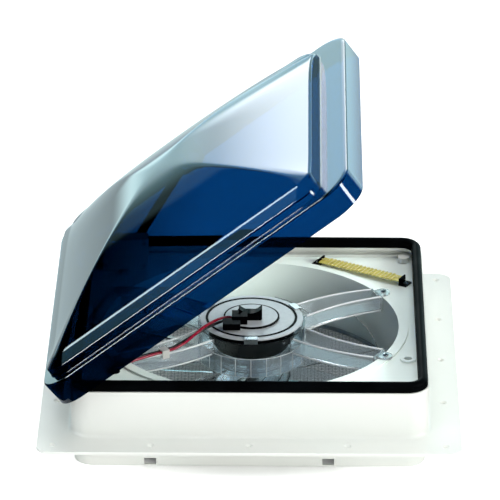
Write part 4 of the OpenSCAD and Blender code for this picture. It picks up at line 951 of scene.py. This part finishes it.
finishes["cloudy_sleeve"] = see_through(
    "cloudy clear sleeve", (0.80, 0.90, 0.96), (0.66, 0.80, 0.90), (0.8, 0.86, 0.9), (0.05, 0.18),
    SLEEVE_BEND, 60.0, clarity=SLEEVE_CLARITY)
sleeve_rims = [(SLEEVE_IN, SLEEVE_LOW), (SLEEVE_OUT, SLEEVE_LOW),
               (SLEEVE_OUT, SLEEVE_TOP), (SLEEVE_IN, SLEEVE_TOP)]
sleeve_loops = [around(CUP_R + out, height)[:-1] for out, height in sleeve_rims]
sleeve_mesh = plain_mesh("cup sleeve", *skin(sleeve_loops, closed=True), smooth_angle=40)
sleeve_mesh.materials.append(finishes["cloudy_sleeve"])
add_piece("cup_sleeve", sleeve_mesh, "clear_plastic", "base")
spokes = [2 * math.pi * (k + 0.5) / RIB_COUNT for k in range(RIB_COUNT)]
ribs = [[at_bearing(CUP_R + RIB_OUT, a, height) for height in (SLEEVE_LOW, SLEEVE_TOP)] for a in spokes]
hoops = [around(CUP_R + HOOP_OUT, height) for height in (SLEEVE_LOW, SLEEVE_TOP)]
# painted highlight: the ribs and hoops are white so they read as light caught on the cup's ridges
swept("cup_ribs", ribs + hoops, RIB_THICK, RIB_SIDES, "clear_plastic", "base", finish="painted_highlight_edge")

# %% [markdown]
# ## The insect screen
# Under the fan a woven net keeps insects out. A picture of a net could be laid on a
# disc, but it would look flat from near by. So a tree scatters one strand along a
# row of points, stretches each to the circle's chord and waves it up and down. A
# turned copy, waved the other way, makes the strands that cross.

# %% The net's strands
STRAND_STEPS, STRAND_SIDES = 163, 3
net, net_in, net_out = new_group(
    "woven net", "GeometryNodeTree",
    {"Base": (GEOMETRY, None), "Net Radius": (NUMBER, 0.148), "Pitch": (NUMBER, 0.00365),
     "Half Count": (WHOLE, 40), "Strand": (NUMBER, 0.00028), "Wave": (NUMBER, 0.00028),
     "Finish": (STUFF, None)},
    {"Geometry": GEOMETRY})
net_radius, pitch, half_count = (net_in.outputs[name] for name in ("Net Radius", "Pitch", "Half Count"))


def place_parts():
    """The place of each point in the net, as its three numbers."""
    return put(net, "ShaderNodeSeparateXYZ", Vector=put(net, "GeometryNodeInputPosition").outputs[0]).outputs


first = reckon(net, "MULTIPLY", reckon(net, "MULTIPLY", half_count, -1.0), pitch)
row = put(net, "GeometryNodeMeshLine", Count=reckon(net, "MULTIPLY_ADD", half_count, 2.0, 1.0),
          Start_Location=put(net, "ShaderNodeCombineXYZ", X=first).outputs[0],
          Offset=put(net, "ShaderNodeCombineXYZ", X=pitch).outputs[0])
here = place_parts()
chord = reckon(net, "SQRT", reckon(net, "SUBTRACT", reckon(net, "MULTIPLY", net_radius, net_radius),
                                   reckon(net, "MULTIPLY", here["X"], here["X"])))
strand_path = put(net, "GeometryNodeCurvePrimitiveLine", Start=(0, -1, 0), End=(0, 1, 0))
strand_steps = put(net, "GeometryNodeResampleCurve", Curve=strand_path.outputs[0], Count=STRAND_STEPS)
strand_round = put(net, "GeometryNodeCurvePrimitiveCircle", Resolution=STRAND_SIDES,
                   Radius=net_in.outputs["Strand"])
strand = put(net, "GeometryNodeCurveToMesh", Curve=strand_steps.outputs[0],
             Profile_Curve=strand_round.outputs[0])
stretch = put(net, "ShaderNodeCombineXYZ", X=1.0, Y=chord, Z=1.0)
strands = put(net, "GeometryNodeInstanceOnPoints", Points=row.outputs[0], Instance=strand.outputs[0],
              Scale=stretch.outputs[0])
one_way = put(net, "GeometryNodeRealizeInstances", Geometry=strands.outputs[0])
print("strand nodes", len(net.nodes))

# %% The net's weave
NET_Z = -21.5
there = place_parts()
along = reckon(net, "DIVIDE", there["Y"], pitch)
across = reckon(net, "ROUND", reckon(net, "DIVIDE", there["X"], pitch))
phase = reckon(net, "MULTIPLY", reckon(net, "ADD", along, across), math.pi)
lift_by = reckon(net, "MULTIPLY", reckon(net, "COSINE", phase), net_in.outputs["Wave"])
waved = put(net, "GeometryNodeSetPosition", Geometry=one_way.outputs[0],
            Offset=put(net, "ShaderNodeCombineXYZ", Z=lift_by).outputs[0])
other_way = put(net, "GeometryNodeTransform", Geometry=waved.outputs[0], Rotation=(0, 0, math.pi / 2),
                Scale=(1, 1, -1))
both = put(net, "GeometryNodeJoinGeometry")
net.links.new(waved.outputs[0], both.inputs[0])
net.links.new(other_way.outputs[0], both.inputs[0])
net_place = put(net, "GeometryNodeTransform", Geometry=both.outputs[0], Translation=(0, 0, NET_Z * MM))
end_tree(net, net_in, net_out, net_place.outputs[0])
net_mesh = run_tree(net, bpy.data.meshes.new("net base"), Finish=finishes["grey_screen"])
shape = bmesh.new()
shape.from_mesh(net_mesh)
bmesh.ops.recalc_face_normals(shape, faces=shape.faces)
shape.to_mesh(net_mesh)
shape.free()
add_piece("woven_net", net_mesh, "grey_screen", "base", "insect_screen_net")
print("net faces", len(net_mesh.polygons))

# %% [markdown]
# ## Screws and rivets
# Pan-head screws hold the shroud, the bracket, the resistor, the switch, the lid's
# operator and the hinges, and rivets hold the hinges to the lid. Each could be
# modelled in place, but one screw of a kind is turned, with a cross recess cut in
# its head, and a tree sets a copy on each seat. The seats and sizes are measured
# from the plain solids, so the heads land where they belong.

# %% Measuring the seats
RIM_SHARE, UNDER_SEAT = 0.97, 1e-5


def loose_parts(node, undo):
    """The corner points of each separate solid in a node, after an undoing turn if there is one."""
    shape = welded_shape(node)
    left, parts = set(shape.verts), []
    for start in shape.verts:
        if start not in left:
            continue
        left.discard(start)
        stack, part = [start], []
        while stack:
            vert = stack.pop()
            part.append(undo @ vert.co if undo else vert.co.copy())
            for edge in vert.link_edges:
                other = edge.other_vert(vert)
                if other in left:
                    left.discard(other)
                    stack.append(other)
        parts.append(part)
    shape.free()
    return parts


def seats(node, undo=None):
    """A row for each screw: seat, way of the head, head radius and height, shank radius and length."""
    rows = []
    for part in loose_parts(node, undo):
        low = Vector([min(p[i] for p in part) for i in range(3)])
        high = Vector([max(p[i] for p in part) for i in range(3)])
        size, middle = high - low, (low + high) / 2
        axis = max(range(3), key=lambda i: sum(abs(size[i] - other) for other in size))
        a, b = (axis + 1) % 3, (axis + 2) % 3
        wide = max(size[a], size[b]) / 2
        reach = [math.hypot(p[a] - middle[a], p[b] - middle[b]) for p in part]
        rim = [p[axis] for p, r in zip(part, reach) if r > wide * RIM_SHARE]
        tall = max(rim) - min(rim)
        way = 1 if (max(rim) + min(rim)) / 2 > middle[axis] else -1
        seat = min(rim) if way > 0 else max(rim)
        shank = max(r for p, r in zip(part, reach) if (p[axis] - seat) * way < -UNDER_SEAT)
        place, head_way = middle.copy(), Vector((0, 0, 0))
        place[axis], head_way[axis] = seat, way
        rows.append((place, head_way, wide, tall, shank, size[axis] - tall))
    return rows


UNDO_OPEN = (Matrix.Translation(Vector((HINGE_X, 0, HINGE_Z)) * MM) @ Matrix.Rotation(LID_OPEN, 4, "Y")
             @ Matrix.Translation(Vector((-HINGE_X, 0, -HINGE_Z)) * MM))
screw_nodes = ["shroud_screws", "bracket_screws", "resistor_screws", "switch_screws", "operator_screws",
               "base_hinge_screws", "hinge_rivets"]
seat_rows = {node: seats(node, UNDO_OPEN if node == "hinge_rivets" else None) for node in screw_nodes}
print({node: len(rows) for node, rows in seat_rows.items()})

# %% One screw
SHANK_SHAPE = [(0.6, -1), (1, -0.94), (1, 0)]  # shares of the shank's radius and length
HEAD_SHAPE = [  # shares of the head's radius and height
    (0.94, 0), (1, 0.14), (0.97, 0.45), (0.8, 0.8), (0.5, 0.96), (0.2, 1)]
CROSS_REACH, CROSS_HALF = 0.6, 0.13  # shares of the head's radius
CROSS_FLOOR, CROSS_TOP = 0.45, 1.65  # shares of its height
SCREW_SMOOTH, CUT_SMOOTH = 50, 40


def turned(section, count=28):
    """A body turned round +Z from (radius, height) rows, closed at both ends."""
    loops = [[(r * math.cos(2 * math.pi * j / count), r * math.sin(2 * math.pi * j / count), h)
              for j in range(count)] for r, h in section]
    return skin(loops, capped=True)


def screw_mesh(head_r, head_h, shank_r, length, recess):
    """A screw with its seat at the origin and its head up; a rivet has no recess."""
    shank = [(shank_r * r, length * h) for r, h in SHANK_SHAPE]
    head = [(head_r * r, head_h * h) for r, h in HEAD_SHAPE]
    body = plain_mesh("screw", *turned(shank + head), SCREW_SMOOTH)
    if not recess:
        return body
    a, w = head_r * CROSS_REACH, head_r * CROSS_HALF
    plus = [(a, -w), (a, w), (w, w), (w, a), (-w, a), (-w, w),
            (-a, w), (-a, -w), (-w, -w), (-w, -a), (w, -a), (w, -w)]
    prism = [[(x, y, head_h * share) for x, y in plus] for share in (CROSS_FLOOR, CROSS_TOP)]
    cutter = bpy.data.objects.new("recess", plain_mesh("recess", *skin(prism, capped=True)))
    scene.collection.objects.link(cutter)
    made = evaluated(body, "BOOLEAN", {"object": cutter, "operation": "DIFFERENCE", "solver": "EXACT"})
    bpy.data.objects.remove(cutter)
    smooth(made, CUT_SMOOTH)
    return made


print("a screw's rows", len(SHANK_SHAPE) + len(HEAD_SHAPE))

# %% The seating tree
seating, seating_in, seating_out = new_group(
    "seated screws", "GeometryNodeTree",
    {"Seats": (GEOMETRY, None), "Screw": ("NodeSocketObject", None), "Finish": (STUFF, None)},
    {"Geometry": GEOMETRY})
one = put(seating, "GeometryNodeObjectInfo", Object=seating_in.outputs["Screw"])
head_way = put(seating, "GeometryNodeInputNamedAttribute", {"data_type": "FLOAT_VECTOR"}, Name="head_way")
upright = put(seating, "FunctionNodeAlignRotationToVector", {"axis": "Z"}, Vector=head_way.outputs[0])
placed = put(seating, "GeometryNodeInstanceOnPoints", Points=seating_in.outputs["Seats"],
             Instance=one.outputs["Geometry"], Rotation=upright.outputs[0])
end_tree(seating, seating_in, seating_out, placed.outputs[0])

# %% Seat every screw and rivet
SAME_DIGITS = 5  # screws whose sizes agree to a hundredth of a millimetre share one mesh
for node, rows in seat_rows.items():
    kinds = {}
    for row in rows:
        kinds.setdefault(tuple(round(v, SAME_DIGITS) for v in row[2:]), []).append(row)
    meshes = []
    for sizes, same in kinds.items():
        tool = bpy.data.objects.new("screw", screw_mesh(*sizes, recess=node != "hinge_rivets"))
        scene.collection.objects.link(tool)
        dots = bpy.data.meshes.new("seats")
        dots.from_pydata([tuple(row[0]) for row in same], [], [])
        ways = dots.attributes.new("head_way", "FLOAT_VECTOR", "POINT")
        for item, row in zip(ways.data, same):
            item.vector = row[1]
        meshes.append(run_tree(seating, dots, Screw=tool, Finish=finishes[slot_of[node]]))
        bpy.data.objects.remove(tool)
    joined = bmesh.new()
    for mesh in meshes:
        joined.from_mesh(mesh)
    if node == "hinge_rivets":
        joined.transform(UNDO_OPEN.inverted())
    joined.to_mesh(meshes[0])
    joined.free()
    add_piece(node + "_turned", meshes[0], slot_of[node], nodes[node]["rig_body"], node)
    print(node, "kinds", len(kinds), "seats", len(rows), "faces", len(meshes[0].polygons))

# %% [markdown]
# ## Fan
# The blades are thin clear plastic. They could be bevelled like the other mouldings,
# but their solid is a fine net of triangles, so the welded copy only needs smooth
# shading, which lets light run along each blade.

# %% Fan blades
fan_mesh = shape_mesh("fan moulding", welded_shape("fan_blades"), smooth_angle=35)
add_piece("fan_moulding", fan_mesh, "clear_plastic", "fan", "fan_blades")
print("fan faces", len(fan_mesh.polygons))

# %% [markdown]
# ## Floor
# A plain pale floor, wide enough to fill the view, carries the vent on its throat.
# Lamps bright enough to turn it white would burn out the frame, so it glows a
# little, less under the vent, where a soft shadow stays.

# %% Floor
FLOOR_GAP, FLOOR_HALF = 0.0003, 14
GLOW_FROM, GLOW_TO, GLOW_NEAR, GLOW_FAR = 0.19, 0.225, 0.06, 0.45
FLOOR_Z = cad_box[0].z - FLOOR_GAP
floor_corners = [(x * FLOOR_HALF, y * FLOOR_HALF, FLOOR_Z) for x, y in ((-1, -1), (1, -1), (1, 1), (-1, 1))]
floor = bpy.data.objects.new("floor", plain_mesh("floor", floor_corners, [(0, 1, 2, 3)]))
scene.collection.objects.link(floor)
pale = moulded("pale floor", (0.95, 0.95, 0.95), (0.94, 0.94, 0.94), (0.7, 0.8), bump=0.0, mottle=0.6)
pale_tree = pale.node_tree
from_middle = put(pale_tree, "ShaderNodeVectorMath", {"operation": "LENGTH"},
                  Vector=put(pale_tree, "ShaderNodeTexCoord").outputs["Object"])
glow = ramp(pale_tree, from_middle.outputs["Value"], GLOW_FROM, GLOW_TO, GLOW_NEAR, GLOW_FAR)
feed(pale_tree, pale_tree.nodes["Principled BSDF"], Emission_Color=rgba(1, 1, 1), Emission_Strength=glow)
floor.data.materials.append(pale)
floor.visible_glossy = False
print("floor at", round(FLOOR_Z, 4))
